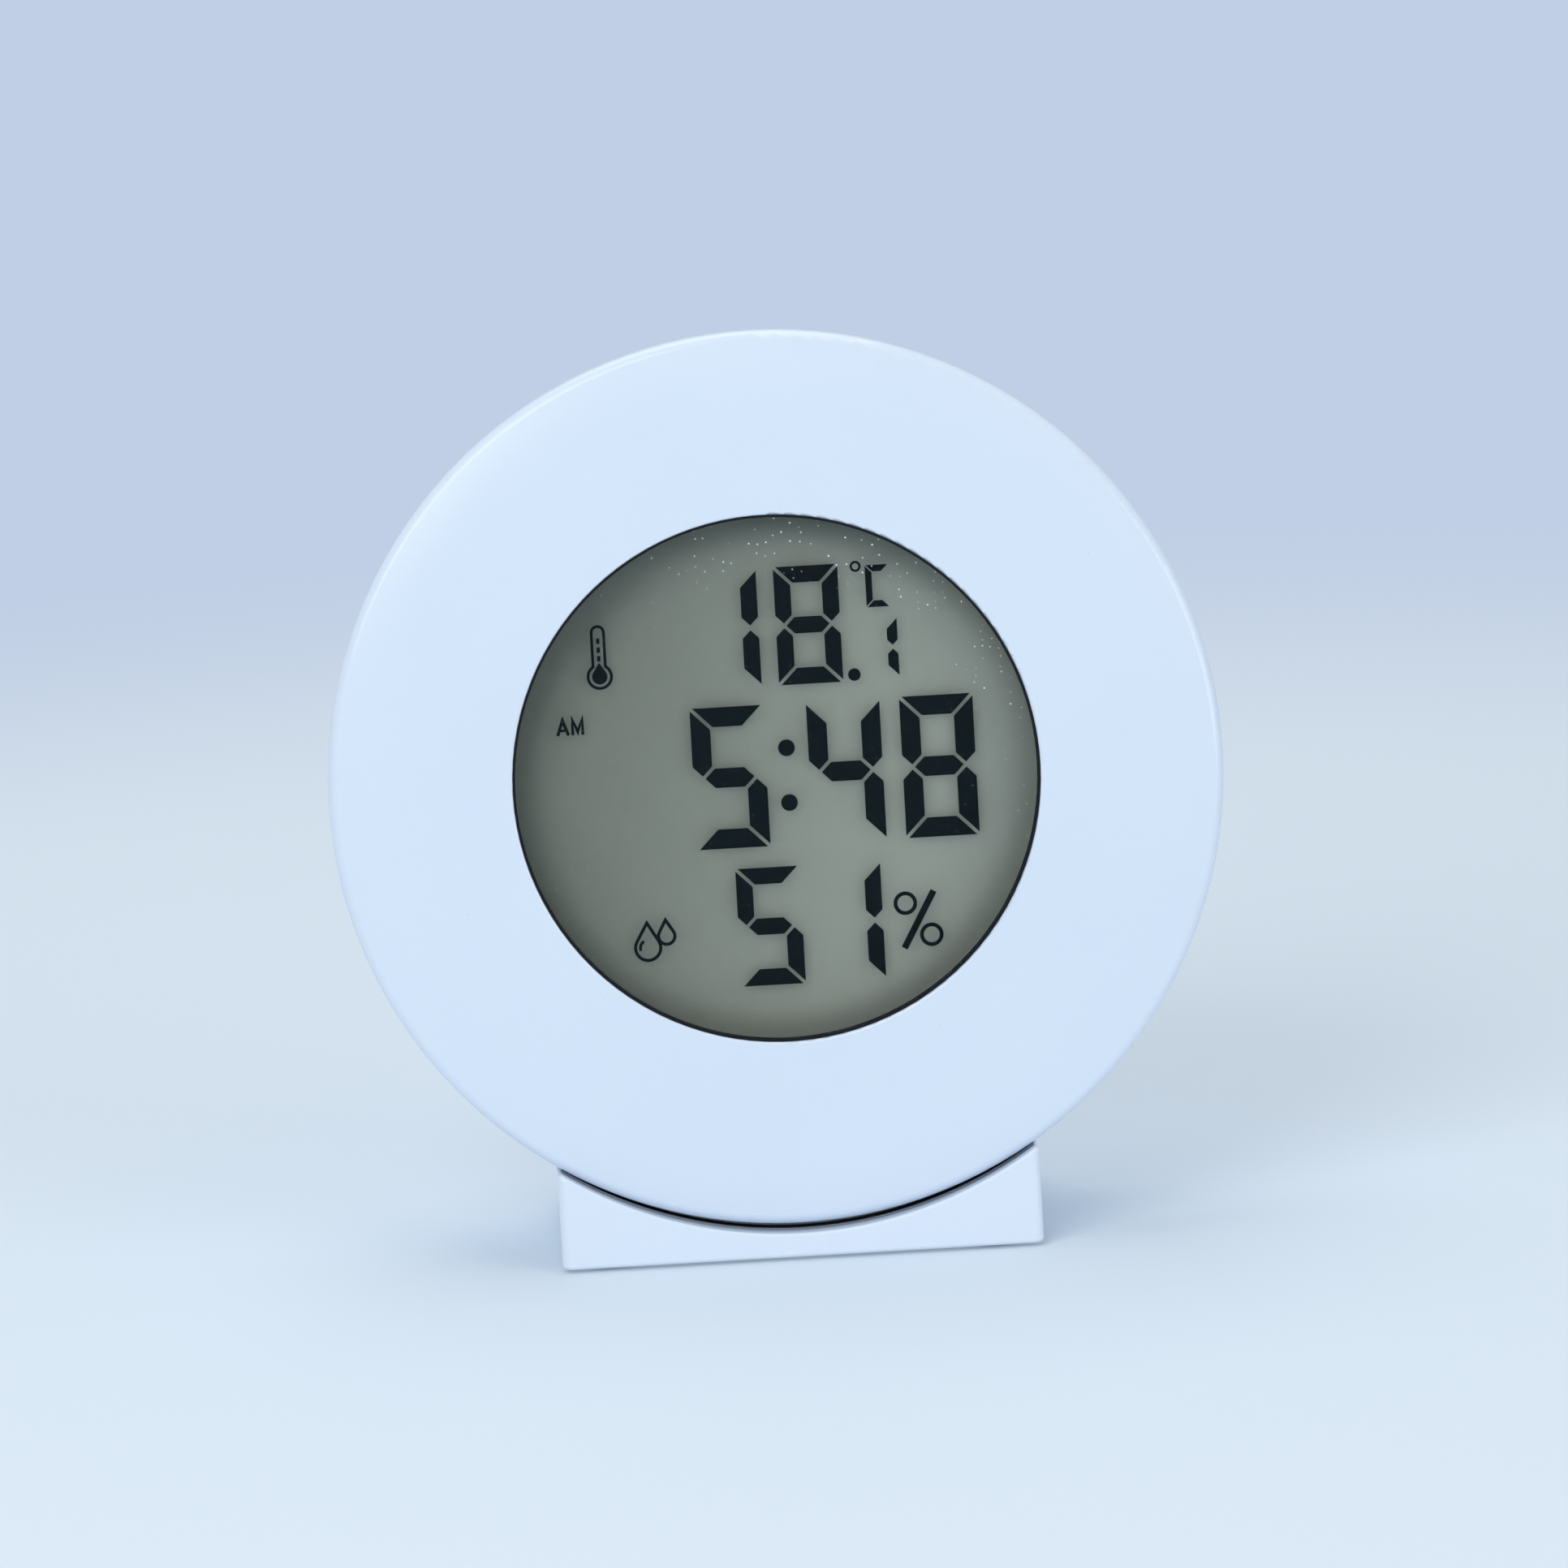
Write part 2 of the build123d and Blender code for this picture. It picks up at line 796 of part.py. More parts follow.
def clock_room():
    """The room that the clock takes in the stand, with the gaps around it."""
    disc = rod(disc_radius + lip_end_gap, -stand_depth, front_depth + seat_gap)
    lip = rod(lip_radius, -stand_depth, front_depth + seat_gap, (0, -lip_drop))
    back = turned(back_outline(seat_gap, 0, backrest_front))
    return clock_place * (disc + lip + back)


def stand_body():
    """The wedge under the clock: a front lip, a seat that follows the case and a backrest."""
    top_front = on_table(-lip_lead, backrest_up)
    top_back = on_table(backrest_front + backrest_thickness, backrest_up)
    front = (-stand_depth / 2, foot_rise)
    rear = (stand_depth / 2, foot_rise)
    side_view = make_face(Polyline(front, top_front, top_back, rear, close=True))
    side_view = softened(side_view, top_back, backrest_edge)
    body = extrude(Plane.YZ.offset(-stand_width / 2) * side_view, stand_width)
    upright = body.edges().filter_by(lambda e: abs(e.tangent_at(0).Z) > lean_sin)
    body = fillet(upright.group_by(Axis.Y)[-1], stand_rear_corner)
    upright = body.edges().filter_by(lambda e: abs(e.tangent_at(0).Z) > lean_sin)
    body = fillet(upright.group_by(Axis.Y)[0], stand_front_corner)
    body = fillet(body.faces().sort_by(Axis.Z)[0].edges(), stand_edge)
    body -= clock_room()
    arcs = body.edges().filter_by(GeomType.CIRCLE).sort_by(lambda e: abs(e.radius - lip_radius))
    body = fillet(arcs[:2].sort_by(Axis.Y)[0], lip_edge)
    body -= cores()
    for place in foot_places():
        body -= Pos(*place, foot_rise) * foot_disc(foot_radius + foot_fit, -overrun, foot_recess)
    return body


def cores():
    """The hollows under the backrest, open below, with ribs between them."""
    back = on_table(backrest_front + backrest_thickness, backrest_up)
    slope = (back[0] - stand_depth / 2) / (back[1] - foot_rise)
    low = foot_rise - overrun
    high = foot_rise + core_height
    front_low = at_height(backrest_front + core_wall, low)
    front_high = at_height(backrest_front + core_wall, high)
    rear_low = (stand_depth / 2 - core_wall + slope * (low - foot_rise), low)
    rear_high = (stand_depth / 2 - core_wall + slope * (high - foot_rise), high)
    side_view = make_face(Polyline(front_low, front_high, rear_high, rear_low, close=True))
    hollows = []
    for step in range(core_count):
        start = (step - core_count / 2) * (core_length + core_rib) + core_rib / 2
        hollows.append(extrude(Plane.YZ.offset(start) * side_view, core_length))
    return hollows


def seat_pad():
    """The thin dark strip that lines the groove behind the front lip."""
    half = stand_width / 2 - pad_inset
    ring = tube(lip_radius - pad_thickness, lip_radius, pad_setback, front_depth + seat_gap)
    room = block((-half, 0, -disc_diameter), (half, body_depth, 0))
    return clock_place * (Pos(0, 0, -lip_drop) * ring & room)


def foot_places():
    """The middles of the four feet."""
    across = stand_width / 2 - foot_side_inset
    along = stand_depth / 2 - foot_end_inset
    return [(x, y) for x in (-across, across) for y in (-along, along)]


def foot_disc(radius, low, high):
    """An upright round between two heights over the underside of the stand."""
    return Pos(0, 0, low) * Cylinder(radius, high - low, align=(Align.CENTER, Align.CENTER, Align.MIN))


def rubber_feet():
    """Four round feet let into the underside of the stand."""
    foot = foot_disc(foot_radius, -foot_rise, foot_recess)
    return [Pos(*place, foot_rise) * foot for place in foot_places()]


# Whole part

def clock_nodes():
    """Every piece of the clock in its own upright frame."""
    return {
        "front_shell": front_shell(),
        "rear_shell": rear_shell(),
        "window_lens": window_lens(),
        "window_gasket": window_gasket(),
        "lcd_front_glass": lcd_front_glass(),
        "lcd_rear_glass": lcd_rear_glass(),
        "lcd_reflector": lcd_reflector(),
        "lcd_frame": lcd_frame(),
        "elastomer_strips": elastomer_strips(),
        "circuit_board": circuit_board(),
        "controller_blob": controller_blob(),
        "crystal_can": crystal_can(),
        "humidity_sensor": humidity_sensor(),
        "surface_mount_parts": surface_mount_parts(),
        "switch_bodies": switch_bodies(),
        "set_plunger": plunger(0),
        "up_plunger": plunger(-button_pitch),
        "down_plunger": plunger(button_pitch),
        "set_button": set_button(),
        "up_button": up_button(),
        "down_button": down_button(),
        "battery_upper": cell(upper_cell_up, 1),
        "battery_lower": cell(lower_cell_up, -1),
        "contact_bridge": contact_bridge(),
        "positive_contact": positive_contact(),
        "negative_contact": negative_contact(),
        "positive_lead": lead(upper_cell_up),
        "negative_lead": lead(lower_cell_up),
        "battery_door": battery_door(),
        "board_screws": board_screws(),
        "case_screws": case_screws(),
    }


def gathered(shape):
    """One compound of all the solids of a node."""
    pieces = shape if isinstance(shape, list) else [shape]
    return Compound([solid for piece in pieces for solid in piece.solids()])


def all_nodes():
    """Every node on the table, around the middle of the stand."""
    nodes = {name: clock_place * gathered(shape) for name, shape in clock_nodes().items()}
    nodes["stand_body"] = gathered(stand_body())
    nodes["seat_pad"] = gathered(seat_pad())
    nodes["rubber_feet"] = gathered(rubber_feet())
    return nodes


def centring_move(nodes):
    """The move along Y that puts the middle of the overall box over the origin."""
    boxes = [node.bounding_box() for node in nodes.values()]
    near = min(box.min.Y for box in boxes)
    far = max(box.max.Y for box in boxes)
    return -(near + far) / 2


def main():
    """Write one file for each node."""
    os.makedirs("parts", exist_ok=True)
    nodes = all_nodes()
    place = Pos(0, centring_move(nodes), 0)
    for name, node in nodes.items():
        export_step(place * node, f"parts/{name}.step")


if __name__ == "__main__":
    main()
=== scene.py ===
# %% [markdown]
# # A round table clock, dressed in Blender
# The clock leans in a small cradle and shows time, temperature and humidity on a round liquid crystal
# display. The frame that is loaded here already holds every piece at its real size and place. This
# lesson gives each piece its finish, draws the dark figures of the display and sets up a plain studio.

import json
import math

import bpy
import numpy as np
from mathutils import Matrix, Vector


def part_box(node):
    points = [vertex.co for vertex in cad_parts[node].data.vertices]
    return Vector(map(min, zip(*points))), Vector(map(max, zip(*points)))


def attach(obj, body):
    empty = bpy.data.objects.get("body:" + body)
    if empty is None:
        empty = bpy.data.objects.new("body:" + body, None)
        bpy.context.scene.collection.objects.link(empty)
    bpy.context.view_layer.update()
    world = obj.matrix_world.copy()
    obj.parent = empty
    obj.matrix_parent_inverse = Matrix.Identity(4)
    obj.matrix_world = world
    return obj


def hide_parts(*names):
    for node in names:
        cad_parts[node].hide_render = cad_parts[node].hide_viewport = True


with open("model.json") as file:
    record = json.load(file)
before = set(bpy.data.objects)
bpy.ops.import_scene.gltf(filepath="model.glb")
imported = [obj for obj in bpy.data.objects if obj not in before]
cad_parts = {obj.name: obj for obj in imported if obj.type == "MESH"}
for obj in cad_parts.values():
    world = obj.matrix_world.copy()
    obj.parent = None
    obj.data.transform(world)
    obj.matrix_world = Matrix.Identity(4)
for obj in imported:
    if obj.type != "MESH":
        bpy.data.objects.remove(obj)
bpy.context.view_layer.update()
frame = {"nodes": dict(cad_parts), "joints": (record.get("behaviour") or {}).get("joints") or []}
scene = bpy.context.scene
MM = 0.001

# %% [markdown]
# ## The plane of the face
# The clock leans back, so its own directions are not those of the table. They could be typed in as an
# angle, but the joint that lifts the clock out of its stand already knows them: its point is the middle
# of the face and its axis runs up the face. Everything on the clock is then placed by how far it is
# across and up the face and how deep behind it.

# %% Directions of the leaning clock
joints = {joint["name"]: joint for joint in frame["joints"]}
face_middle = np.array(joints["clock_lift"]["pos_m"])
face_up = np.array(joints["clock_lift"]["axis"])
face_right = np.array([1.0, 0.0, 0.0])
face_in = np.cross(face_up, face_right)
face_directions = np.stack([face_right, face_up, face_in])
lean = math.asin(face_up[1])


def on_clock(across, up, depth):
    """Points in the frame: the middle of the face plus each distance times its direction."""
    distances = np.stack(np.broadcast_arrays(across, up, depth), -1)
    return face_middle + distances @ face_directions


def measured(node):
    """Across, up and depth of every point of a node: its distance from the middle along each direction."""
    mesh = frame["nodes"][node].data
    points = np.empty(len(mesh.vertices) * 3)
    mesh.vertices.foreach_get("co", points)
    return (points.reshape(-1, 3) - face_middle) @ face_directions.T


case = measured("front_shell")
window_radius = np.hypot(case[:, 0], case[:, 1]).min()
print("lean", round(math.degrees(lean), 2), "degrees, window radius", round(window_radius / MM, 2), "mm")

# %% [markdown]
# ## The camera
# The photograph looks slightly down on the clock, from a little to its left, and the whole picture is
# turned a few degrees. A camera could be moved about until it fits. Here it is worked out instead: the
# middle of the disc has a known pixel, and the disc's width in pixels gives the scale.

# %% Place the camera
PICTURE_PIXELS = 1932
DISC_PIXEL = (957.3, 959.7)
PIXELS_PER_METRE = 10.845 / MM
CAMERA_DISTANCE = 1000 * MM
camera_turn = math.radians(-1.5)
camera_rise = math.radians(12.0)
camera_roll = math.radians(3.0)

away = Vector((
    math.sin(camera_turn) * math.cos(camera_rise),
    -math.cos(camera_turn) * math.cos(camera_rise),
    math.sin(camera_rise),
))
level = Vector((0, 0, 1)).cross(away).normalized()
rising = away.cross(level)
camera_right = level * math.cos(camera_roll) - rising * math.sin(camera_roll)
camera_up = rising * math.cos(camera_roll) + level * math.sin(camera_roll)
shift_right, shift_down = ((PICTURE_PIXELS / 2 - pixel) / PIXELS_PER_METRE for pixel in DISC_PIXEL)
aim = Vector(face_middle) + camera_right * shift_right - camera_up * shift_down

camera = bpy.data.objects.new("camera", bpy.data.cameras.new("camera"))
scene.collection.objects.link(camera)
scene.camera = camera
turned = Matrix([camera_right, camera_up, away]).transposed()
camera.matrix_world = Matrix.Translation(aim + away * CAMERA_DISTANCE) @ turned.to_4x4()
camera.data.lens = camera.data.sensor_width * CAMERA_DISTANCE * PIXELS_PER_METRE / PICTURE_PIXELS
print("camera lens", round(camera.data.lens, 1), "mm")

# %% [markdown]
# ## Writing finishes as sums
# A material is a net of nodes, and wiring nodes by hand hides the thought behind it. The small class
# below stands for one output of a node, and adding, subtracting or comparing such outputs adds the Math
# nodes by itself, so that a finish reads as a formula. One method makes every other kind of node.

# %% Wires and finishes
SPECK_LEAST_SHARE = 0.3


def joined_by(operation, swapped=False):
    """A method that joins two values with one Math node."""
    def method(wire, other):
        pair = [other, wire] if swapped else [wire, other]
        return wire.finish.node("ShaderNodeMath", {"operation": operation}, pair)
    return method


class Wire:
    """One output of a node."""

    def __init__(self, finish, socket):
        self.finish = finish
        self.socket = socket

    __add__ = __radd__ = joined_by("ADD")
    __mul__ = __rmul__ = joined_by("MULTIPLY")
    __sub__ = joined_by("SUBTRACT")
    __rsub__ = joined_by("SUBTRACT", swapped=True)
    __truediv__ = joined_by("DIVIDE")
    __rtruediv__ = joined_by("DIVIDE", swapped=True)
    __pow__ = joined_by("POWER")
    __rpow__ = joined_by("POWER", swapped=True)
    __gt__ = joined_by("GREATER_THAN")
    __lt__ = joined_by("LESS_THAN")
    most = joined_by("MAXIMUM")

    def also(self, output):
        """Another output of the same node."""
        return Wire(self.finish, self.socket.node.outputs[output])


class Finish:
    """One material, or the world, built up node by node."""

    def __init__(self, name, tree=None):
        if tree is None:
            self.material = bpy.data.materials.new(name)
            self.material.use_nodes = True
            tree = self.material.node_tree
        self.tree = tree
        self.tree.nodes.clear()

    def node(self, kind, settings=(), inputs=(), output=0):
        """A new node: first its settings, then the values or wires of its sockets."""
        made = self.tree.nodes.new(kind)
        for key, value in dict(settings).items():
            setattr(made, key, value)
        for key, value in (inputs.items() if isinstance(inputs, dict) else enumerate(inputs)):
            if isinstance(value, Wire):
                self.tree.links.new(value.socket, made.inputs[key])
            else:
                made.inputs[key].default_value = value
        return Wire(self, made.outputs[output]) if made.outputs else None

    def mix(self, factor, first, second):
        """A colour between two colours."""
        return self.node("ShaderNodeMix", {"data_type": "RGBA"}, {0: factor, 6: first, 7: second}, 2)

    def step(self, value, low, high):
        """A soft step that rises from 0 at low to 1 at high."""
        sockets = {"Value": value, "From Min": low, "From Max": high}
        return self.node("ShaderNodeMapRange", {"interpolation_type": "SMOOTHSTEP"}, sockets)

    def place(self):
        """Where a point is on the table."""
        return self.node("ShaderNodeTexCoord", output="Object")

    def on_face(self):
        """Where a point is on the clock: across in X, depth in Y and up in Z."""
        sockets = {"Vector": self.place(), "Location": face_middle, "Rotation": (-lean, 0, 0)}
        return self.node("ShaderNodeMapping", {"vector_type": "TEXTURE"}, sockets)

    def split(self, vector):
        """The three parts of a vector."""
        first = self.node("ShaderNodeSeparateXYZ", inputs=[vector])
        return first, first.also(1), first.also(2)

    def flat(self, across, up):
        """A vector of two parts, for a pattern that is the same at every depth."""
        return self.node("ShaderNodeCombineXYZ", inputs=[across, up, 0.0])

    def radius(self, across, up):
        """Distance from the middle: the root of the two squares added."""
        return (across * across + up * up) ** 0.5

    def stretch(self, vector, scale):
        """A vector with each part scaled, for grain that runs one way."""
        return self.node("ShaderNodeMapping", inputs={"Vector": vector, "Scale": scale})

    def noise(self, vector, size, detail=2.0):
        """Soft cloud of lumps about one size, between 0 and 1."""
        sockets = {"Vector": vector, "Scale": 1 / size, "Detail": detail}
        return self.node("ShaderNodeTexNoise", inputs=sockets)

    def specks(self, vector, pitch, radius, share, dimensions="3D"):
        """Small dots of uneven size, one at most in each cell of a pitch, kept in a share of the cells."""
        sockets = {"Vector": vector, "Scale": 1 / pitch}
        cells = self.node("ShaderNodeTexVoronoi", {"voronoi_dimensions": dimensions}, sockets)
        chance, size = self.split(cells.also("Color"))[:2]
        reach = (SPECK_LEAST_SHARE + (1 - SPECK_LEAST_SHARE) * size) * (radius / pitch)
        return (cells < reach) * (chance < share)

    def bump(self, height, distance):
        """A normal from a height between 0 and 1 that stands for a distance."""
        return self.node("ShaderNodeBump", inputs={"Height": height, "Distance": distance})

    def principled(self, **sockets):
        """The main surface shader, with socket names written with low lines for spaces."""
        named = {key.replace("_", " "): value for key, value in sockets.items()}
        return self.node("ShaderNodeBsdfPrincipled", inputs=named)

    def show(self, shader):
        """Give the shader to the output and return the material."""
        self.node("ShaderNodeOutputMaterial", inputs={"Surface": shader})
        return self.material


def tone(red, green, blue):
    """Linear colour from the three values that an image would show, 0 to 255, by the sRGB curve."""
    shown = np.array([red, green, blue]) / 255
    linear = np.where(shown <= 0.04045, shown / 12.92, ((shown + 0.055) / 1.055) ** 2.4)
    return (*linear.tolist(), 1.0)


def dress(material, *nodes):
    """Give a material to the slots of some CAD nodes."""
    for node in nodes:
        for slot in frame["nodes"][node].material_slots:
            slot.material = material
    print(material.name, "on", ", ".join(nodes))


print("a shown grey of 128 is", round(tone(128, 128, 128)[0], 3), "in linear light")

# %% [markdown]
# ## White moulded plastic
# The case and the stand are moulded in a cool white plastic. A single colour would look like paper, so
# the white drifts a little over some centimetres, the gloss changes from place to place and the surface
# has the fine waviness that moulded plastic shows in a reflection. The front comes from a polished
# mould, the back and the stand from finely etched ones. The stand's white is painted a shade lighter:
# painted light that makes up for the lesser light on its low front. One function makes all three.

# %% Case and stand
CASE_WHITES = tone(211, 225, 241), tone(218, 231, 246)
# Painted light: the stand's whites are set above the case's to make up for the lesser light on its low
# front.
STAND_PAINTED_LIGHTER_WHITES = tone(216, 229, 244), tone(222, 234, 249)
WHITE_CLOUD = 28 * MM
WHITE_GLOSS_PATCH = 6 * MM
DUST_GREY = tone(150, 160, 175)
DUST_PITCH = 2.4 * MM
DUST_RADIUS = 0.12 * MM
DUST_SHARE = 0.35
DUST_STRENGTH = 0.20


def moulded_white(name, whites, gloss, grain, height):
    """White plastic: clouds of two near whites, specks of dust, uneven gloss and a fine grain."""
    finish = Finish(name)
    place = finish.place()
    colour = finish.mix(finish.noise(place, WHITE_CLOUD, detail=3.0), *whites)
    dust = finish.specks(place, DUST_PITCH, DUST_RADIUS, DUST_SHARE)
    low, high = gloss
    return finish.show(finish.principled(
        Base_Color=finish.mix(dust * DUST_STRENGTH, colour, DUST_GREY),
        Roughness=low + (high - low) * finish.noise(place, WHITE_GLOSS_PATCH, detail=4.0),
        Normal=finish.bump(finish.noise(place, grain), height),
    ))


polished = moulded_white("white_polished", CASE_WHITES, (0.18, 0.26), grain=9 * MM, height=0.004 * MM)
etched = moulded_white("white_etched", CASE_WHITES, (0.42, 0.58), grain=0.30 * MM, height=0.010 * MM)
satin = moulded_white("white_stand", STAND_PAINTED_LIGHTER_WHITES, (0.30, 0.44), grain=0.9 * MM, height=0.006 * MM)
dress(polished, "front_shell")
dress(etched, "rear_shell", "battery_door")
dress(satin, "stand_body")

# %% [markdown]
# ## Buttons, feet, pad and the ring around the window
# The three push buttons are moulded in a slightly greyer plastic with a matt face. The feet, the pad in
# the cradle and the thin ring between window and face are rubber: dark and hardly glossy. The front edge
# of the pad is painted pale, fading to black deeper in: painted light where the groove opens.

# %% Buttons and rubber
BUTTON_GREYS = tone(176, 185, 197), tone(190, 199, 210)
BUTTON_WEAR = 4 * MM
BUTTON_GRAIN = 0.2 * MM
BUTTON_GRAIN_HEIGHT = 0.008 * MM
RUBBER_BLACKS = tone(7, 10, 14), tone(16, 20, 25)
RUBBER_GREYS = tone(58, 60, 64), tone(78, 80, 84)
RUBBER_BLOOM = 2.5 * MM
RUBBER_GRAIN = 0.15 * MM
RUBBER_GRAIN_HEIGHT = 0.01 * MM
# Painted light: the pad's front edge is tinted pale where light enters the groove, fading to black deeper
# in.
PAD_PAINTED_LIGHT = tone(178, 188, 200)
PAD_PAINTED_LIGHT_STRENGTH = 0.5
PAD_PAINTED_LIGHT_REACH = 1.2 * MM
pad_front = measured("seat_pad")[:, 2].min()


def button_plastic():
    """Pale grey plastic, worn a little smoother in patches by fingers."""
    finish = Finish("button_grey")
    place = finish.place()
    worn = finish.noise(place, BUTTON_WEAR, detail=3.0)
    return finish.show(finish.principled(
        Base_Color=finish.mix(worn, *BUTTON_GREYS),
        Roughness=0.55 - 0.18 * worn,
        Normal=finish.bump(finish.noise(place, BUTTON_GRAIN), BUTTON_GRAIN_HEIGHT),
    ))


def pad_painted_light(finish):
    """How much painted light lies on the pad: most at its front edge, none behind its reach."""
    depth = finish.split(finish.on_face())[1]
    return PAD_PAINTED_LIGHT_STRENGTH * (1 - finish.step(depth, pad_front, pad_front + PAD_PAINTED_LIGHT_REACH))


def rubber(name, tones, dust_and_painted_light=False):
    """Soft dark rubber with a pale bloom in patches, and painted light along the front edge where it is the
    pad.
    """
    finish = Finish(name)
    place = finish.place()
    bloom = finish.noise(place, RUBBER_BLOOM, detail=4.0)
    colour = finish.mix(bloom, *tones)
    return finish.show(finish.principled(
        Base_Color=finish.mix(pad_painted_light(finish), colour, PAD_PAINTED_LIGHT) if dust_and_painted_light else colour,
        Roughness=0.55 + 0.25 * bloom,
        Normal=finish.bump(finish.noise(place, RUBBER_GRAIN), RUBBER_GRAIN_HEIGHT),
        Specular_IOR_Level=0.2,
    ))


dress(button_plastic(), "set_button", "up_button", "down_button")
dress(rubber("rubber_black", RUBBER_BLACKS), "window_gasket")
dress(rubber("rubber_pad", RUBBER_BLACKS, dust_and_painted_light=True), "seat_pad")
dress(rubber("rubber_foot", RUBBER_GREYS), "rubber_feet")

# %% [markdown]
# ## Looking through the window
# Window and display glass let light through to the grey film behind them. Real glass shaders would bend
# every ray and leave the film dark without slow caustics, so each clear layer is a mix: most of it lets
# the ray pass straight on with a slight tint, and a share that grows at a glancing angle mirrors. A few
# specks of dust lie on the window, most of them towards its upper right edge.

# %% Window and display glass
WINDOW_TINT = (0.985, 0.988, 0.987, 1)
WINDOW_INDEX = 1.20
DISPLAY_TINT = (1, 1, 1, 1)
DISPLAY_INDEX = 1.02
MIRROR_WHITE = tone(250, 252, 255)
MIRROR_WAVE = 9 * MM
SPECK_WHITE = tone(232, 240, 238)
SPECK_PITCH = 1.0 * MM
SPECK_RADIUS = 0.11 * MM
SPECK_SHARE = 0.32
SPECK_RING_SHARES = (0.68, 0.88)
SPECK_CORNER = (4 * MM, 30 * MM)
CLEAR_BOUNCES = 32


def window_specks(finish, face):
    """Specks of dust: a few all over, most where a point is both far out and to the upper right."""
    across, up = finish.split(face)[::2]
    upper_right = finish.step(up + 0.6 * across, *SPECK_CORNER)
    inner, outer = (share * window_radius for share in SPECK_RING_SHARES)
    ring = finish.step(finish.radius(across, up), inner, outer)
    specks = finish.specks(finish.flat(across, up), SPECK_PITCH, SPECK_RADIUS, SPECK_SHARE, "2D")
    return specks * (0.1 + 0.9 * upper_right * ring)


def clear_layer(name, tint, mirror_index, dust_and_painted_light=False):
    """A clear layer: a tinted see-through shader mixed with a mirror by the angle of view."""
    finish = Finish(name)
    face = finish.on_face()
    facing = 1 - finish.node("ShaderNodeNewGeometry", output="Backfacing")
    mirror = finish.node("ShaderNodeFresnel", inputs={"IOR": mirror_index}) * facing
    colour, metallic = MIRROR_WHITE, 1.0
    roughness = 0.04 + 0.03 * finish.noise(face, MIRROR_WAVE)
    if dust_and_painted_light:
        dust = window_specks(finish, face) * facing
        colour, metallic = finish.mix(dust, MIRROR_WHITE, SPECK_WHITE), 1 - dust
        roughness = roughness + 0.6 * dust
        mirror = mirror.most(dust * 0.9)
    gloss = finish.principled(Base_Color=colour, Metallic=metallic, Roughness=roughness)
    clear = finish.node("ShaderNodeBsdfTransparent", inputs=[tint])
    return finish.show(finish.node("ShaderNodeMixShader", inputs=[mirror, clear, gloss]))


dress(clear_layer("clear_window", WINDOW_TINT, WINDOW_INDEX, dust_and_painted_light=True), "window_lens")
dress(clear_layer("clear_display", DISPLAY_TINT, DISPLAY_INDEX), "lcd_front_glass", "lcd_rear_glass")
scene.cycles.transparent_max_bounces = CLEAR_BOUNCES

# %% [markdown]
# ## Hidden pieces
# Inside the case sit the board, its parts, the display frame and the wiring. They show only through
# vents and through the open battery door, yet each gets the finish of the real thing: green lacquer
# with copper tracks, black epoxy, black and grey plastic, striped contact rubber and coloured wire.

# %% Board and what is on it
LACQUER_GREENS = tone(18, 82, 48), tone(36, 118, 66)
LACQUER_WEAVE = tone(60, 110, 70)
WEAVE_SIZE = 0.4 * MM
TRACK_PITCH = 4 * MM
TRACK_HEIGHT = 0.03 * MM
TRACK_BRICKS = {"Mortar Size": 0.07, "Brick Width": 1.7, "Row Height": 0.35}
STRIPE_TONES = tone(196, 150, 146), tone(40, 36, 38)
STRIPE_PITCH = 0.15 * MM
STRIPE_EDGE = 0.08 * MM
MOTTLE_HEIGHT = 0.005 * MM


def green_board():
    """Green lacquer over tracks: a brick pattern stands for the copper runs below the lacquer."""
    finish = Finish("board_green")
    face = finish.on_face()
    across, up = finish.split(face)[::2]
    sockets = {"Vector": finish.flat(across, up), "Scale": 1 / TRACK_PITCH, **TRACK_BRICKS}
    tracks = finish.node("ShaderNodeTexBrick", {"offset": 0.37}, sockets, "Fac")
    weave = finish.noise(face, WEAVE_SIZE)
    colour = finish.mix(tracks, *LACQUER_GREENS)
    return finish.show(finish.principled(
        Base_Color=finish.mix(weave * 0.25, colour, LACQUER_WEAVE),
        Roughness=0.28 + 0.15 * weave,
        Normal=finish.bump(tracks, TRACK_HEIGHT),
    ))


def mottled(name, dark, pale, lump, roughness):
    """A plain material with two close tones in lumps, an uneven gloss and a light grain."""
    finish = Finish(name)
    place = finish.place()
    lumps = finish.noise(place, lump, detail=3.0)
    return finish.show(finish.principled(
        Base_Color=finish.mix(lumps, dark, pale),
        Roughness=roughness - 0.12 + 0.24 * lumps,
        Normal=finish.bump(finish.noise(place, lump / 8), MOTTLE_HEIGHT),
    ))


def striped_contact():
    """Pale rubber with dark conducting stripes across it."""
    finish = Finish("striped_rubber")
    across = finish.split(finish.on_face())[0]
    to_and_fro = finish.node("ShaderNodeMath", {"operation": "PINGPONG"}, [across, STRIPE_PITCH])
    stripes = to_and_fro > STRIPE_EDGE
    return finish.show(finish.principled(
        Base_Color=finish.mix(stripes, *STRIPE_TONES),
        Roughness=0.6 + 0.1 * stripes,
    ))


epoxy_black = mottled("epoxy_black", tone(14, 14, 15), tone(26, 26, 28), lump=3 * MM, roughness=0.22)
chip_black = mottled("chip_black", tone(30, 30, 33), tone(46, 46, 50), lump=1 * MM, roughness=0.6)
plunger_black = mottled("plunger_black", tone(26, 27, 30), tone(40, 42, 46), lump=2 * MM, roughness=0.45)
frame_grey = mottled("frame_grey", tone(205, 210, 214), tone(218, 222, 226), lump=8 * MM, roughness=0.5)
wire_red = mottled("wire_red", tone(165, 24, 22), tone(188, 36, 30), lump=3 * MM, roughness=0.4)
wire_black = mottled("wire_black", tone(20, 20, 22), tone(36, 36, 39), lump=3 * MM, roughness=0.4)
dress(green_board(), "circuit_board")
dress(epoxy_black, "controller_blob")
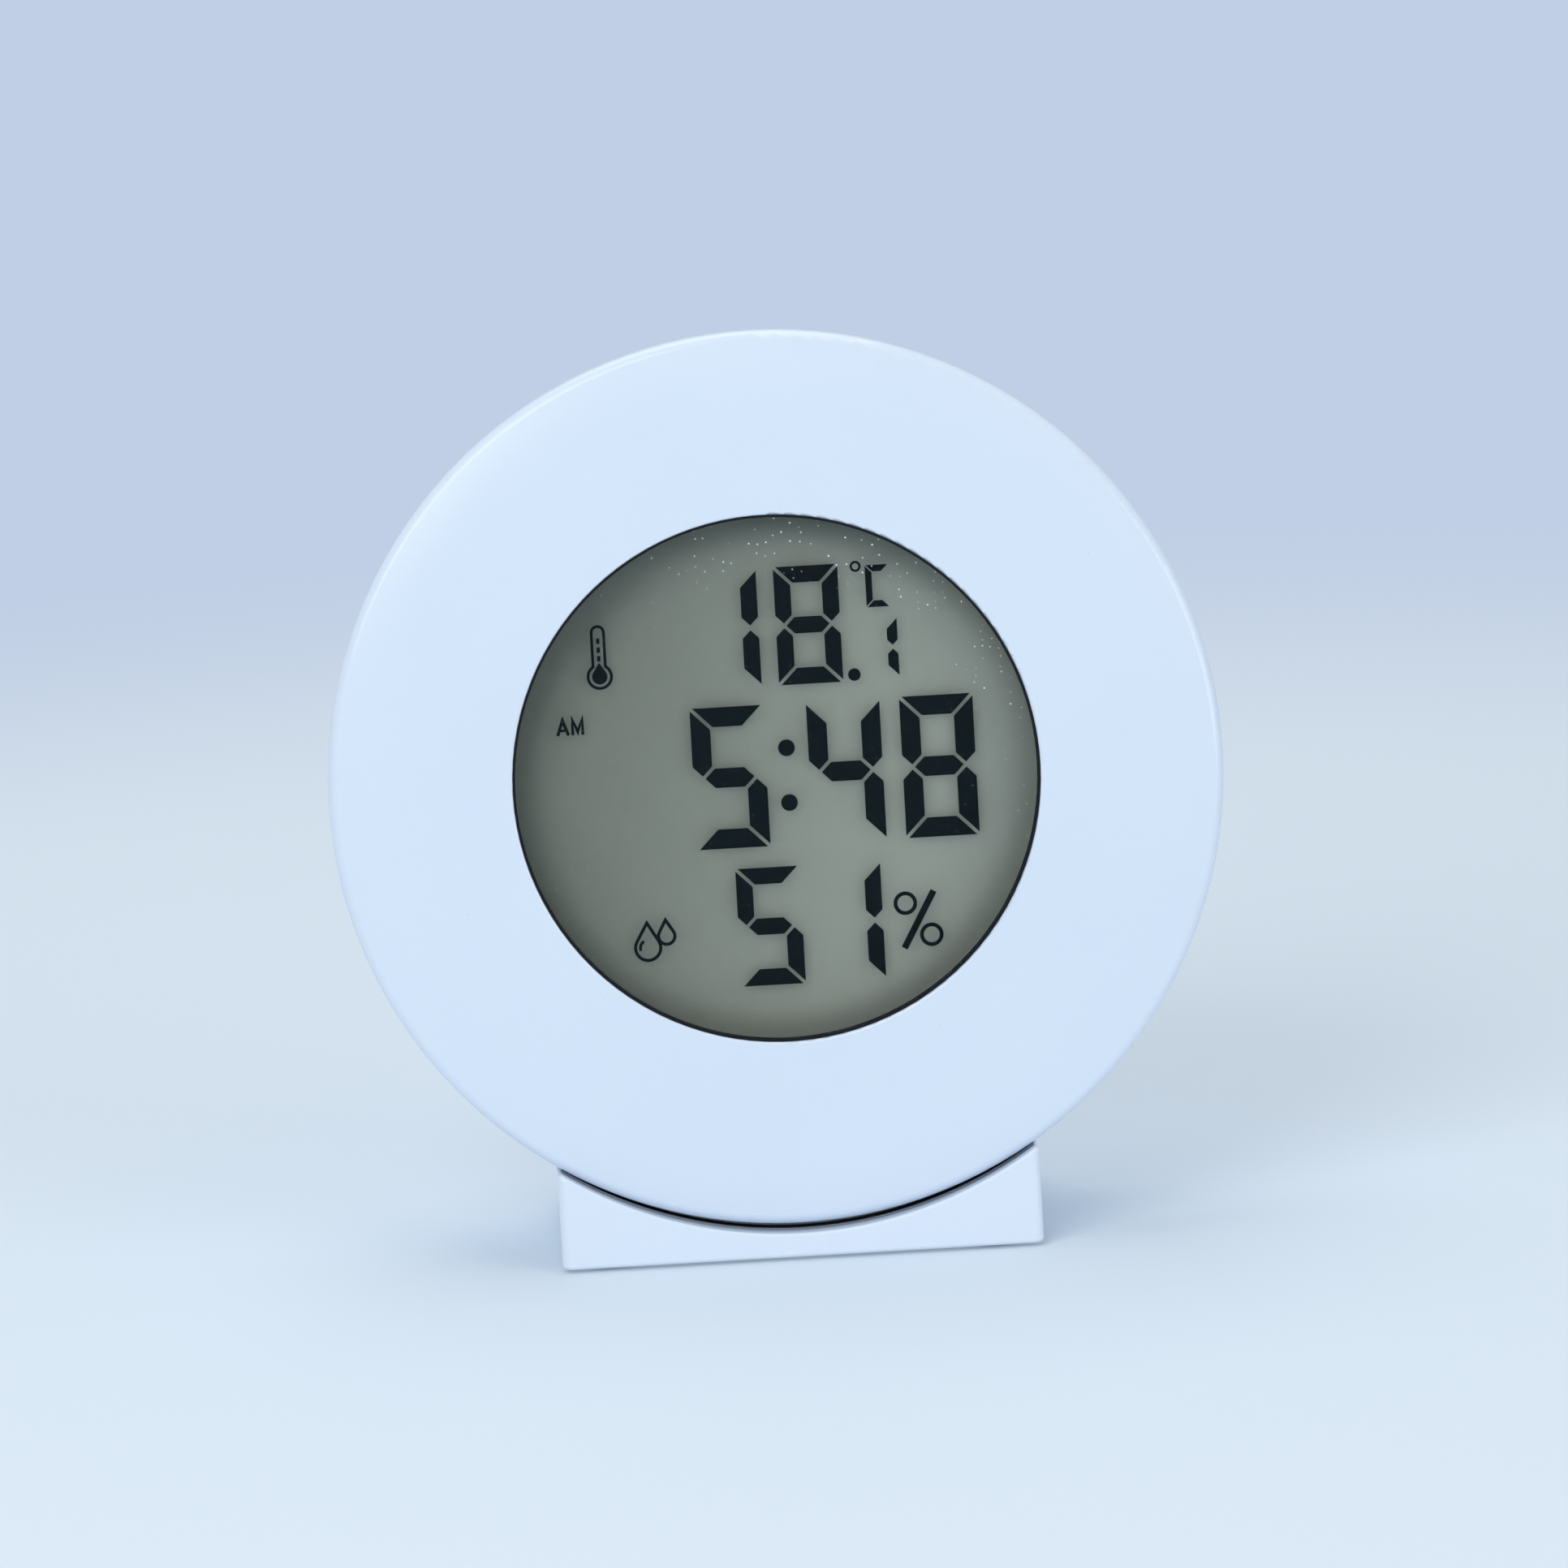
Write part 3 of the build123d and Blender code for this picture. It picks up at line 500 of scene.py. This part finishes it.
dress(chip_black, "surface_mount_parts", "switch_bodies", "humidity_sensor")
dress(plunger_black, "set_plunger", "up_plunger", "down_plunger")
dress(frame_grey, "lcd_frame")
dress(wire_red, "positive_lead")
dress(wire_black, "negative_lead")
dress(striped_contact(), "elastomer_strips")

# %% [markdown]
# ## Metal
# Screws, contacts and the crystal's can are plated steel. Plating is bright but never even: it carries
# a faint haze and fine scratches, which show as changes of gloss rather than of colour.

# %% Screws and contacts
HAZE_SIZE = 2 * MM
SCRATCH_WIDTH = 0.12 * MM
SCRATCH_HEIGHT = 0.002 * MM
SCRATCH_STRETCH = (0.15, 1.0, 1.0)


def plated(name, dark, pale, roughness):
    """Plated metal: a hazy gloss with fine scratches that run one way."""
    finish = Finish(name)
    place = finish.place()
    haze = finish.noise(place, HAZE_SIZE, detail=4.0)
    scratch = finish.noise(finish.stretch(place, SCRATCH_STRETCH), SCRATCH_WIDTH)
    return finish.show(finish.principled(
        Base_Color=finish.mix(haze, dark, pale),
        Metallic=1.0,
        Roughness=roughness + 0.12 * haze + 0.10 * scratch,
        Normal=finish.bump(scratch, SCRATCH_HEIGHT),
    ))


screw_plating = plated("screw_plating", tone(150, 153, 158), tone(176, 179, 184), roughness=0.24)
contact_plating = plated("contact_plating", tone(176, 176, 172), tone(202, 202, 197), roughness=0.16)
dress(screw_plating, "board_screws", "case_screws", "crystal_can")
dress(contact_plating, "contact_bridge", "positive_contact", "negative_contact")

# %% [markdown]
# ## The two cells
# A cell is a steel can in a printed plastic sleeve. The sleeve stops short of both ends, where bare
# metal shows, and carries a broad pale band at the raised end. The sleeve has no lettering here.

# %% Cell jackets
SLEEVE_SHARES = (0.025, 0.955)
LINE_SHARE = 0.685
BAND_SHARE = 0.70
SLEEVE_GREEN = tone(52, 104, 84)
BAND_GREY = tone(200, 206, 210)
LINE_YELLOW = tone(226, 196, 84)
CAN_STEEL = tone(196, 197, 199)
SLEEVE_SHEEN = tone(230, 232, 236)
SLEEVE_GRAIN = 0.3 * MM
SLEEVE_STRETCH = (0.1, 1.0, 1.0)


def cell_jacket(node, raised_side):
    """Sleeve by share of the cell's length: bare metal at both ends, green, a thin line and a pale band."""
    finish = Finish(node + "_jacket")
    place = finish.place()
    ends = measured(node)[:, 0]
    along = (finish.split(place)[0] - ends.min()) / (ends.max() - ends.min())
    along = along if raised_side > 0 else 1 - along
    sleeve_start, sleeve_end = SLEEVE_SHARES
    bare = (along < sleeve_start).most(along > sleeve_end)
    band = along > BAND_SHARE
    line = (along > LINE_SHARE) * (along < BAND_SHARE)
    grain = finish.noise(finish.stretch(place, SLEEVE_STRETCH), SLEEVE_GRAIN)
    colour = finish.mix(band, SLEEVE_GREEN, BAND_GREY)
    colour = finish.mix(line, colour, LINE_YELLOW)
    colour = finish.mix(bare, colour, CAN_STEEL)
    return finish.show(finish.principled(
        Base_Color=finish.mix(grain * 0.10, colour, SLEEVE_SHEEN),
        Metallic=bare.most(band * 0.5),
        Roughness=0.26 + 0.12 * grain,
        Coat_Weight=0.4 - 0.4 * bare,
    ))


dress(cell_jacket("battery_upper", 1), "battery_upper")
dress(cell_jacket("battery_lower", -1), "battery_lower")

# %% [markdown]
# ## Shapes for the display
# The figures of the display are thin dark areas between two panes of glass. They could be a picture on
# the glass, but pictures blur when one comes near. Two functions are enough for all of them: a slab
# fills an outline, and a ribbon carries a small rectangle along a path. Both give closed shapes. Their
# outlines and paths are written in millimetres across and up the face.

# %% Slabs, ribbons and the mesh that holds them
INK_THICKNESS = 0.03 * MM
INK_COVER = 0.01 * MM
CORNER_LEAST = 0.3
ink_back = measured("lcd_front_glass")[:, 2].max() - INK_COVER
ink_depths = (ink_back - INK_THICKNESS, ink_back)


def slab(outline, depths=ink_depths):
    """A filled outline: its points at the front depth and again at the back depth, joined by a wall."""
    points = np.asarray(outline, float) * MM
    return on_clock(points[:, 0], points[:, 1], np.array(depths)[:, None]), False


def ribbon(path, width, closed=False):
    """A band along a path: each point moves half a width to both sides, along the halved corner angle."""
    path = np.asarray(path, float)
    ahead = np.roll(path, -1, 0) - path
    ahead /= np.linalg.norm(ahead, axis=1)[:, None]
    behind = np.roll(ahead, 1, 0)
    if not closed:
        ahead[-1] = behind[-1]
        behind[0] = ahead[0]
    sides = np.stack([-(ahead + behind)[:, 1], (ahead + behind)[:, 0]], -1)
    sides /= np.linalg.norm(sides, axis=1)[:, None]
    square_on = (sides * np.stack([-ahead[:, 1], ahead[:, 0]], -1)).sum(1)
    lengths = width / 2 / np.maximum(square_on, CORNER_LEAST)
    left = (path + sides * lengths[:, None]) * MM
    right = (path - sides * lengths[:, None]) * MM
    corners = np.stack([right, left, left, right], 1)
    return on_clock(corners[..., 0], corners[..., 1], np.repeat(ink_depths, 2)), closed


def walls(loops, closed, start):
    """Faces between neighbouring loops: a point, the same one on the next loop, and the next ones round."""
    rows, turns = loops.shape[:2]
    index = start + np.arange(rows * turns).reshape(rows, turns)
    nearer = index if closed else index[:-1]
    farther = np.roll(index, -1, 0)[:len(nearer)]
    quads = np.stack([nearer, farther, np.roll(farther, -1, 1), np.roll(nearer, -1, 1)], -1)
    caps = [] if closed else [index[0].tolist(), index[-1, ::-1].tolist()]
    return quads.reshape(-1, 4).tolist() + caps


def piece(name, shapes, material, body):
    """One object of all the shapes, riding on a body."""
    points, faces, count = [], [], 0
    for loops, closed in shapes:
        points.append(loops.reshape(-1, 3))
        faces += walls(loops, closed, count)
        count += points[-1].shape[0]
    mesh = bpy.data.meshes.new(name)
    mesh.from_pydata(np.concatenate(points).tolist(), [], faces)
    mesh.materials.append(material)
    made = bpy.data.objects.new(name, mesh)
    scene.collection.objects.link(made)
    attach(made, body)
    print(name, len(shapes), "shapes,", len(mesh.polygons), "faces")
    return made


print("ink from", *(round(depth / MM, 3) for depth in ink_depths), "mm behind the face")

# %% [markdown]
# ## The grey film of the display
# A reflective display has a film at its back that returns the daylight, grey with a hint of green and as
# fine-grained as brushed pearl. Its colour carries painted shade: darker towards the edge of the window,
# where the case stands in the light, most on the left, and paler to the lower right. In the frame it
# touches the glass. Two surfaces in one place would flicker in the picture, so the film is laid again a
# hair's breadth behind the glass.

# %% Reflecting film
FILM_SETBACK = 0.02 * MM
# Painted shade: the film grey is darker on the left and paler on the right, with a little random cloud.
FILM_SHADE_AND_CLOUD_GREYS = tone(116, 122, 114), tone(152, 159, 151)
FILM_EDGE_SHADE = tone(106, 114, 106)
FILM_GRAIN_GREY = tone(196, 204, 197)
FILM_EDGE_SHADE_SHARE = 0.87
FILM_SHADE_SIDES = (-26 * MM, 20 * MM)
FILM_GRAIN = 1.2 * MM
FILM_CLOUD = 14 * MM


def film_grey():
    """Grey-green film with a soft grain and painted shade: paler to the lower right, darker at the edge,
    most on the left.
    """
    finish = Finish("film_grey")
    face = finish.on_face()
    across, up = finish.split(face)[::2]
    # Painted shade near the window's edge, weaker on the right.
    edge = finish.step(finish.radius(across, up), FILM_EDGE_SHADE_SHARE * window_radius, window_radius)
    side = finish.step(across - 0.15 * up, *FILM_SHADE_SIDES)
    grain = finish.noise(face, FILM_GRAIN, detail=3.0)
    cloud = finish.noise(face, FILM_CLOUD, detail=3.0)
    colour = finish.mix(side * 0.85 + cloud * 0.15, *FILM_SHADE_AND_CLOUD_GREYS)
    colour = finish.mix(edge * (1 - 0.4 * side), colour, FILM_EDGE_SHADE)
    return finish.show(finish.principled(
        Base_Color=finish.mix(grain * 0.06, colour, FILM_GRAIN_GREY),
        Roughness=0.55 + 0.2 * grain,
        Specular_IOR_Level=0.0,
    ))


sheet = measured("lcd_reflector")
corners = np.unique(sheet[:, :2].round(6), axis=0)
corners = corners[np.argsort(np.arctan2(corners[:, 1], corners[:, 0]))]
film_depths = (sheet[:, 2].min() + FILM_SETBACK, sheet[:, 2].max())
film = piece("display_film", [slab(corners / MM, film_depths)], film_grey(), "clock")
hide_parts("lcd_reflector")

# %% [markdown]
# ## Ink of the display
# Where the crystal blocks the light it looks nearly black, with a trace of blue and green, and slightly
# uneven where the field between the electrodes is. The film spreads light sideways under the strokes, so
# they throw only a faint shadow on it. Simulating that spread would be slow. Instead the ink lets most of
# the light of the lamps pass to the film, and stays dark for whoever looks at it.

# %% Dark ink
INK_BLACKS = tone(9, 19, 22), tone(17, 26, 29)
INK_DRIFT = 5 * MM
INK_LAMP_TINT = (0.85, 0.85, 0.85, 1)


def display_ink():
    """Nearly black, with a slow drift of tone, and mostly clear for the rays of the lamps."""
    finish = Finish("display_ink")
    drift = finish.noise(finish.on_face(), INK_DRIFT, detail=3.0)
    dark = finish.principled(
        Base_Color=finish.mix(drift, *INK_BLACKS),
        Roughness=0.5 + 0.15 * drift,
        Specular_IOR_Level=0.0,
    )
    clear = finish.node("ShaderNodeBsdfTransparent", inputs=[INK_LAMP_TINT])
    lamp_ray = finish.node("ShaderNodeLightPath", output="Is Shadow Ray")
    return finish.show(finish.node("ShaderNodeMixShader", inputs=[lamp_ray, dark, clear]))


ink = display_ink()
print(ink.name, "with", len(ink.node_tree.nodes), "nodes")

# %% [markdown]
# ## Seven strokes for a figure
# A figure is made of seven strokes named a to g. The strokes meet at slanted cuts with a narrow gap, and
# the upright ones end in a point beside the middle stroke. One outline per stroke, written from the
# width, height and stroke of the figure, serves every size on the display. The letter C has no middle
# stroke, so it gets one tall upright, named l.

# %% Figures
STROKES = {"1": "bc", "4": "bcfg", "5": "acdfg", "8": "abcdefg", "C": "adl"}
TIME_FIGURE = {"width": 8.4, "height": 16.2, "stroke": 2.24, "gap": 0.40}
READING_FIGURE = {"width": 7.36, "height": 13.5, "stroke": 1.89, "gap": 0.38}
TENTH_FIGURE = {"width": 3.58, "height": 6.95, "stroke": 1.20, "gap": 0.30}


def figure_strokes(figure, middle, width, height, stroke, gap):
    """Outlines of the lit strokes: the upper left ones by formula, the others by turning signs."""
    half, top, gap = width / 2, height / 2, gap / math.sqrt(2)
    bar = [(gap - half, top), (half - gap, top), (half - stroke - gap, top - stroke),
           (stroke + gap - half, top - stroke)]
    upright = [(-half, top - gap), (stroke - half, top - stroke - gap), (stroke - half, stroke / 2 + gap),
               (stroke / 2 - half, gap), (-half, stroke / 2 + gap)]
    tip, shoulder = half - stroke / 2 - gap, half - stroke - gap
    centre = [(-tip, 0), (-shoulder, stroke / 2), (shoulder, stroke / 2), (tip, 0),
              (shoulder, -stroke / 2), (-shoulder, -stroke / 2)]
    tall = [(-half, top - gap), (stroke - half, top - stroke - gap), (stroke - half, stroke + gap - top),
            (-half, gap - top)]
    shapes = {
        "a": (bar, 1, 1), "b": (upright, -1, 1), "c": (upright, -1, -1), "d": (bar, 1, -1),
        "e": (upright, 1, -1), "f": (upright, 1, 1), "g": (centre, 1, 1), "l": (tall, 1, 1),
    }
    outlines = []
    for name in STROKES[figure]:
        points, across, up = shapes[name]
        outline = np.array(points) * (across, up) + middle
        outlines.append(outline[::-across * up])
    return [slab(outline) for outline in outlines]


def figure_row(places, up, sizes):
    """The strokes of some figures, each at its own place across, on one line."""
    row = [figure_strokes(figure, (across, up), **sizes) for figure, across in places]
    return sum(row, [])


def circle(middle, radius, count=48):
    """Points round a circle, against the clock."""
    angle = np.linspace(0, 2 * np.pi, count, endpoint=False)
    return np.stack([np.cos(angle), np.sin(angle)], -1) * radius + middle


print("lit strokes:", {figure: len(names) for figure, names in STROKES.items()})

# %% [markdown]
# ## Three readings
# The large row in the middle is the time, with two round dots between hours and minutes. The temperature
# stands above it, with a point and a smaller figure for the tenths, and the humidity below it. Each row
# keeps to one line, so a row has one height and each figure its own place across.

# %% Time, temperature and humidity
TIME_UP = 0.13
TIME_PLACES = (("5", -5.22), ("4", 8.08), ("8", 18.73))
DOTS_ACROSS = 1.4
DOTS_UP = (3.16, -3.11)
DOT_RADIUS = 0.96
TEMPERATURE_UP = 17.08
TEMPERATURE_PLACES = (("1", -4.68), ("8", 4.65))
TENTH_UP = 14
TENTH_PLACES = (("1", 12.98),)
POINT_MIDDLE = (9.61, 11.07)
POINT_RADIUS = 0.72
HUMIDITY_UP = -17.13
HUMIDITY_PLACES = (("5", -1.55), ("1", 7.66))

time_shapes = figure_row(TIME_PLACES, TIME_UP, TIME_FIGURE)
time_shapes += [slab(circle((DOTS_ACROSS, up), DOT_RADIUS)) for up in DOTS_UP]
piece("display_time", time_shapes, ink, "clock")

heat_shapes = figure_row(TEMPERATURE_PLACES, TEMPERATURE_UP, READING_FIGURE)
heat_shapes += figure_row(TENTH_PLACES, TENTH_UP, TENTH_FIGURE)
heat_shapes.append(slab(circle(POINT_MIDDLE, POINT_RADIUS)))
piece("display_temperature", heat_shapes, ink, "clock")

damp_shapes = figure_row(HUMIDITY_PLACES, HUMIDITY_UP, READING_FIGURE)
piece("display_humidity", damp_shapes, ink, "clock")

# %% [markdown]
# ## Units beside the figures
# A ring and a C stand for degrees, and two rings and a bar for percent. The C is built from strokes, as
# the figures are. Rings and bar are ribbons, along a circle or along a straight path.

# %% Degree and percent signs
UNIT_FIGURE = {"width": 2.68, "height": 4.82, "stroke": 0.75, "gap": 0.14}
UNIT_MIDDLE = (12.78, 21.06)
DEGREE_MIDDLE = (10.37, 23.4)
DEGREE_RADIUS = 0.5
DEGREE_LINE = 0.26
PERCENT_MIDDLES = ((13.98, -15.4), (16.81, -19.13))
PERCENT_RADIUS = 1.13
PERCENT_LINE = 0.44
PERCENT_BAR = ((17.28, -14.13), (13.62, -20.54))
PERCENT_BAR_WIDTH = 0.76

unit_shapes = [ribbon(circle(DEGREE_MIDDLE, DEGREE_RADIUS, count=32), DEGREE_LINE, closed=True)]
unit_shapes += figure_strokes("C", UNIT_MIDDLE, **UNIT_FIGURE)
piece("display_degree_sign", unit_shapes, ink, "clock")

percent_rings = [circle(middle, PERCENT_RADIUS, count=40) for middle in PERCENT_MIDDLES]
percent_shapes = [ribbon(ring, PERCENT_LINE, closed=True) for ring in percent_rings]
percent_shapes.append(ribbon(PERCENT_BAR, PERCENT_BAR_WIDTH))
piece("display_percent_sign", percent_shapes, ink, "clock")

# %% [markdown]
# ## Pictures beside the figures
# A thermometer and two drops say which reading is which. They could be drawn freely, point by point, but
# two curves are enough: a part of a circle, and a drop whose straight sides touch a round. The bulb is
# an outline with a filled drop in it, and three short marks stand in the tube.

# %% Thermometer and drops
BULB_MIDDLE = np.array((-19.4, 12.49))
BULB_RADIUS = 1.34
TUBE_RADIUS = 0.70
TUBE_TOP = 17.53
TUBE_LINE = 0.33
FILL_RADIUS = 0.88
FILL_TIP = (0, 1.6)
MARKS_UP = (1.75, 2.72, 3.75)
MARK_LENGTH = 0.62
MARK_WIDTH = 0.38
LARGE_MIDDLE = np.array((-15.66, -18.8))
LARGE_RADIUS = 1.44
LARGE_TIP = (0, 2.85)
SMALL_MIDDLE = np.array((-13.47, -17.57))
SMALL_RADIUS = 0.94
SMALL_TIP = (-0.05, 1.85)
DROP_LINE = 0.37
GLINT_RADIUS = 0.88
GLINT_ANGLES = (118, 200)
GLINT_LINE = 0.34


def arc(middle, radius, start, end, count=25):
    """Points along a part of a circle, angles in degrees."""
    angle = np.radians(np.linspace(start, end, count))
    return np.stack([np.cos(angle), np.sin(angle)], -1) * radius + middle


def drop(middle, radius, tip):
    """A drop: a round, and straight lines that touch it and meet at a tip, given from the middle."""
    open_angle = math.degrees(math.acos(radius / np.linalg.norm(tip)))
    return np.vstack([[middle + tip], arc(middle, radius, 90 + open_angle, 450 - open_angle)])


neck = math.degrees(math.acos(TUBE_RADIUS / BULB_RADIUS))
tube_middle = (BULB_MIDDLE[0], TUBE_TOP)
tube = np.vstack([
    arc(BULB_MIDDLE, BULB_RADIUS, 180 - neck, 360 + neck),
    arc(tube_middle, TUBE_RADIUS, 0, 180, count=13),
])
thermometer_shapes = [ribbon(tube, TUBE_LINE, closed=True)]
thermometer_shapes.append(slab(drop(BULB_MIDDLE, FILL_RADIUS, FILL_TIP)))
for low in MARKS_UP:
    mark = [BULB_MIDDLE + (0, low), BULB_MIDDLE + (0, low + MARK_LENGTH)]
    thermometer_shapes.append(ribbon(mark, MARK_WIDTH))
piece("display_thermometer_sign", thermometer_shapes, ink, "clock")

large_drop = drop(LARGE_MIDDLE, LARGE_RADIUS, LARGE_TIP)
small_drop = drop(SMALL_MIDDLE, SMALL_RADIUS, SMALL_TIP)
drop_shapes = [ribbon(outline, DROP_LINE, closed=True) for outline in (large_drop, small_drop)]
drop_shapes.append(ribbon(arc(LARGE_MIDDLE, GLINT_RADIUS, *GLINT_ANGLES, count=12), GLINT_LINE))
piece("display_drop_sign", drop_shapes, ink, "clock")

# %% [markdown]
# ## Morning or afternoon
# A clock with twelve hours says with two letters which half of the day it is. A font would bring
# outlines with many points, and at this size three plain ribbons look the same.

# %% Two letters for the morning
LETTER_LOW = 6
LETTER_HIGH = 7.73
LETTER_LINE = 0.36
A_ACROSS = (-24.57, -23.95, -23.34)
CROSSBAR_ACROSS = (-24.31, -23.6)
CROSSBAR_UP = 6.56
CROSSBAR_LINE = 0.30
M_ACROSS = (-22.83, -22.26, -21.7)
M_VALLEY = 6.34

a_left, a_tip, a_right = A_ACROSS
m_left, m_middle, m_right = M_ACROSS
a_path = [(a_left, LETTER_LOW), (a_tip, LETTER_HIGH), (a_right, LETTER_LOW)]
m_path = [(m_left, LETTER_LOW), (m_left, LETTER_HIGH), (m_middle, M_VALLEY)]
m_path += [(m_right, LETTER_HIGH), (m_right, LETTER_LOW)]
crossbar = [(across, CROSSBAR_UP) for across in CROSSBAR_ACROSS]
letter_shapes = [ribbon(a_path, LETTER_LINE)]
letter_shapes.append(ribbon(crossbar, CROSSBAR_LINE))
letter_shapes.append(ribbon(m_path, LETTER_LINE))
piece("display_morning_sign", letter_shapes, ink, "clock")

# %% [markdown]
# ## A plain studio
# The floor is a pale sheet. Near the clock it takes the light and the shadow as any surface does. Farther
# out it passes into one flat tone, which the world shows as well, so that no edge or horizon cuts the
# picture from any side. It is clear from below and open under the stand, so that the underside is lit
# and can be looked at.

# %% Floor and world
BACKDROP = tone(192, 207, 229)
FLOOR_PALE = tone(221, 235, 247)
FLOOR_NEAR, FLOOR_FAR, FLOOR_END = 0.24, 0.45, 6.0
FLOOR_HOLE_INSET = 3 * MM
AMBIENT_WHITE = (1.0, 1.0, 1.0, 1.0)
AMBIENT_STRENGTH = 0.49


def seen(finish):
    """1 for rays that show something: from the camera, off a mirror or through glass."""
    camera_ray = finish.node("ShaderNodeLightPath", output="Is Camera Ray")
    mirrored = camera_ray.most(camera_ray.also("Is Glossy Ray"))
    return mirrored.most(camera_ray.also("Is Transmission Ray"))


def stand_opening(finish, across, along):
    """1 under the stand: all of its outline for light, a little less for the eye, so that no edge shows."""
    low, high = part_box("stand_body")
    light_ray = finish.node("ShaderNodeLightPath", output="Is Diffuse Ray")
    inset = FLOOR_HOLE_INSET * (1 - light_ray.most(light_ray.also("Is Shadow Ray")))
    hole = (across > low.x + inset) * (across < high.x - inset)
    return hole * (along > low.y + inset) * (along < high.y - inset)


def floor_sheet():
    """Pale floor that passes into a flat tone, clear from below and left open under the stand."""
    finish = Finish("floor_sheet")
    across, along = finish.split(finish.place())[:2]
    far = finish.step(finish.radius(across, along), FLOOR_NEAR, FLOOR_FAR) * seen(finish)
    near = finish.principled(Base_Color=FLOOR_PALE, Roughness=0.7)
    flat = finish.node("ShaderNodeEmission", inputs=[BACKDROP, 1.0])
    sheet = finish.node("ShaderNodeMixShader", inputs=[far, near, flat])
    below = finish.node("ShaderNodeNewGeometry", output="Backfacing")
    gone = below.most(stand_opening(finish, across, along))
    clear = finish.node("ShaderNodeBsdfTransparent")
    return finish.show(finish.node("ShaderNodeMixShader", inputs=[gone, sheet, clear]))


def disc_sheet(name, radius, count=96):
    """A flat round sheet on the table: points at equal turns round a circle, joined as one face."""
    points = np.pad(circle((0, 0), radius, count), ((0, 0), (0, 1)))
    mesh = bpy.data.meshes.new(name)
    mesh.from_pydata(points.tolist(), [], [list(range(count))])
    made = bpy.data.objects.new(name, mesh)
    scene.collection.objects.link(made)
    return made


floor = disc_sheet("floor", FLOOR_END)
floor.data.materials.append(floor_sheet())

scene.world = bpy.data.worlds.new("studio")
scene.world.use_nodes = True
sky = Finish("studio", scene.world.node_tree)
ambient = sky.node("ShaderNodeBackground", inputs=[AMBIENT_WHITE, AMBIENT_STRENGTH])
shown = sky.node("ShaderNodeBackground", inputs=[BACKDROP, 1.0])
mixed = sky.node("ShaderNodeMixShader", inputs=[seen(sky), ambient, shown])
sky.node("ShaderNodeOutputWorld", inputs={"Surface": mixed})
print("floor", FLOOR_END, "m in radius, world with", len(sky.tree.nodes), "nodes")

# %% [markdown]
# ## Soft lamps
# Daylight from a window has no hard edge, and a small lamp would draw hard shadows. So the lamps are
# large and soft: one from the front left, one overhead that brightens the upper edge of the disc, and a
# weaker one from the right.

# %% Lamps
SOFTBOXES = {
    "key_softbox": {"place": (-0.50, -0.80, 0.70), "size": 0.7, "power": 4.8},
    "side_softbox": {"place": (0.75, -0.65, 0.35), "size": 0.6, "power": 2.2},
    "top_softbox": {"place": (-0.10, 0.25, 1.00), "size": 0.7, "power": 2.8},
}


def softbox(name, place, size, power):
    """A square lamp that faces the middle of the clock."""
    lamp = bpy.data.lights.new(name, "AREA")
    lamp.size = size
    lamp.energy = power
    holder = bpy.data.objects.new(name, lamp)
    holder.location = place
    holder.rotation_euler = (Vector(face_middle) - Vector(place)).to_track_quat("-Z", "Y").to_euler()
    scene.collection.objects.link(holder)
    print(name, power, "watts,", size, "m wide")


for lamp_name, lamp_values in SOFTBOXES.items():
    softbox(lamp_name, **lamp_values)

# %% [markdown]
# ## View transform
# The picture is shown with the standard view transform.

# %% View transform
scene.view_settings.view_transform = "Standard"
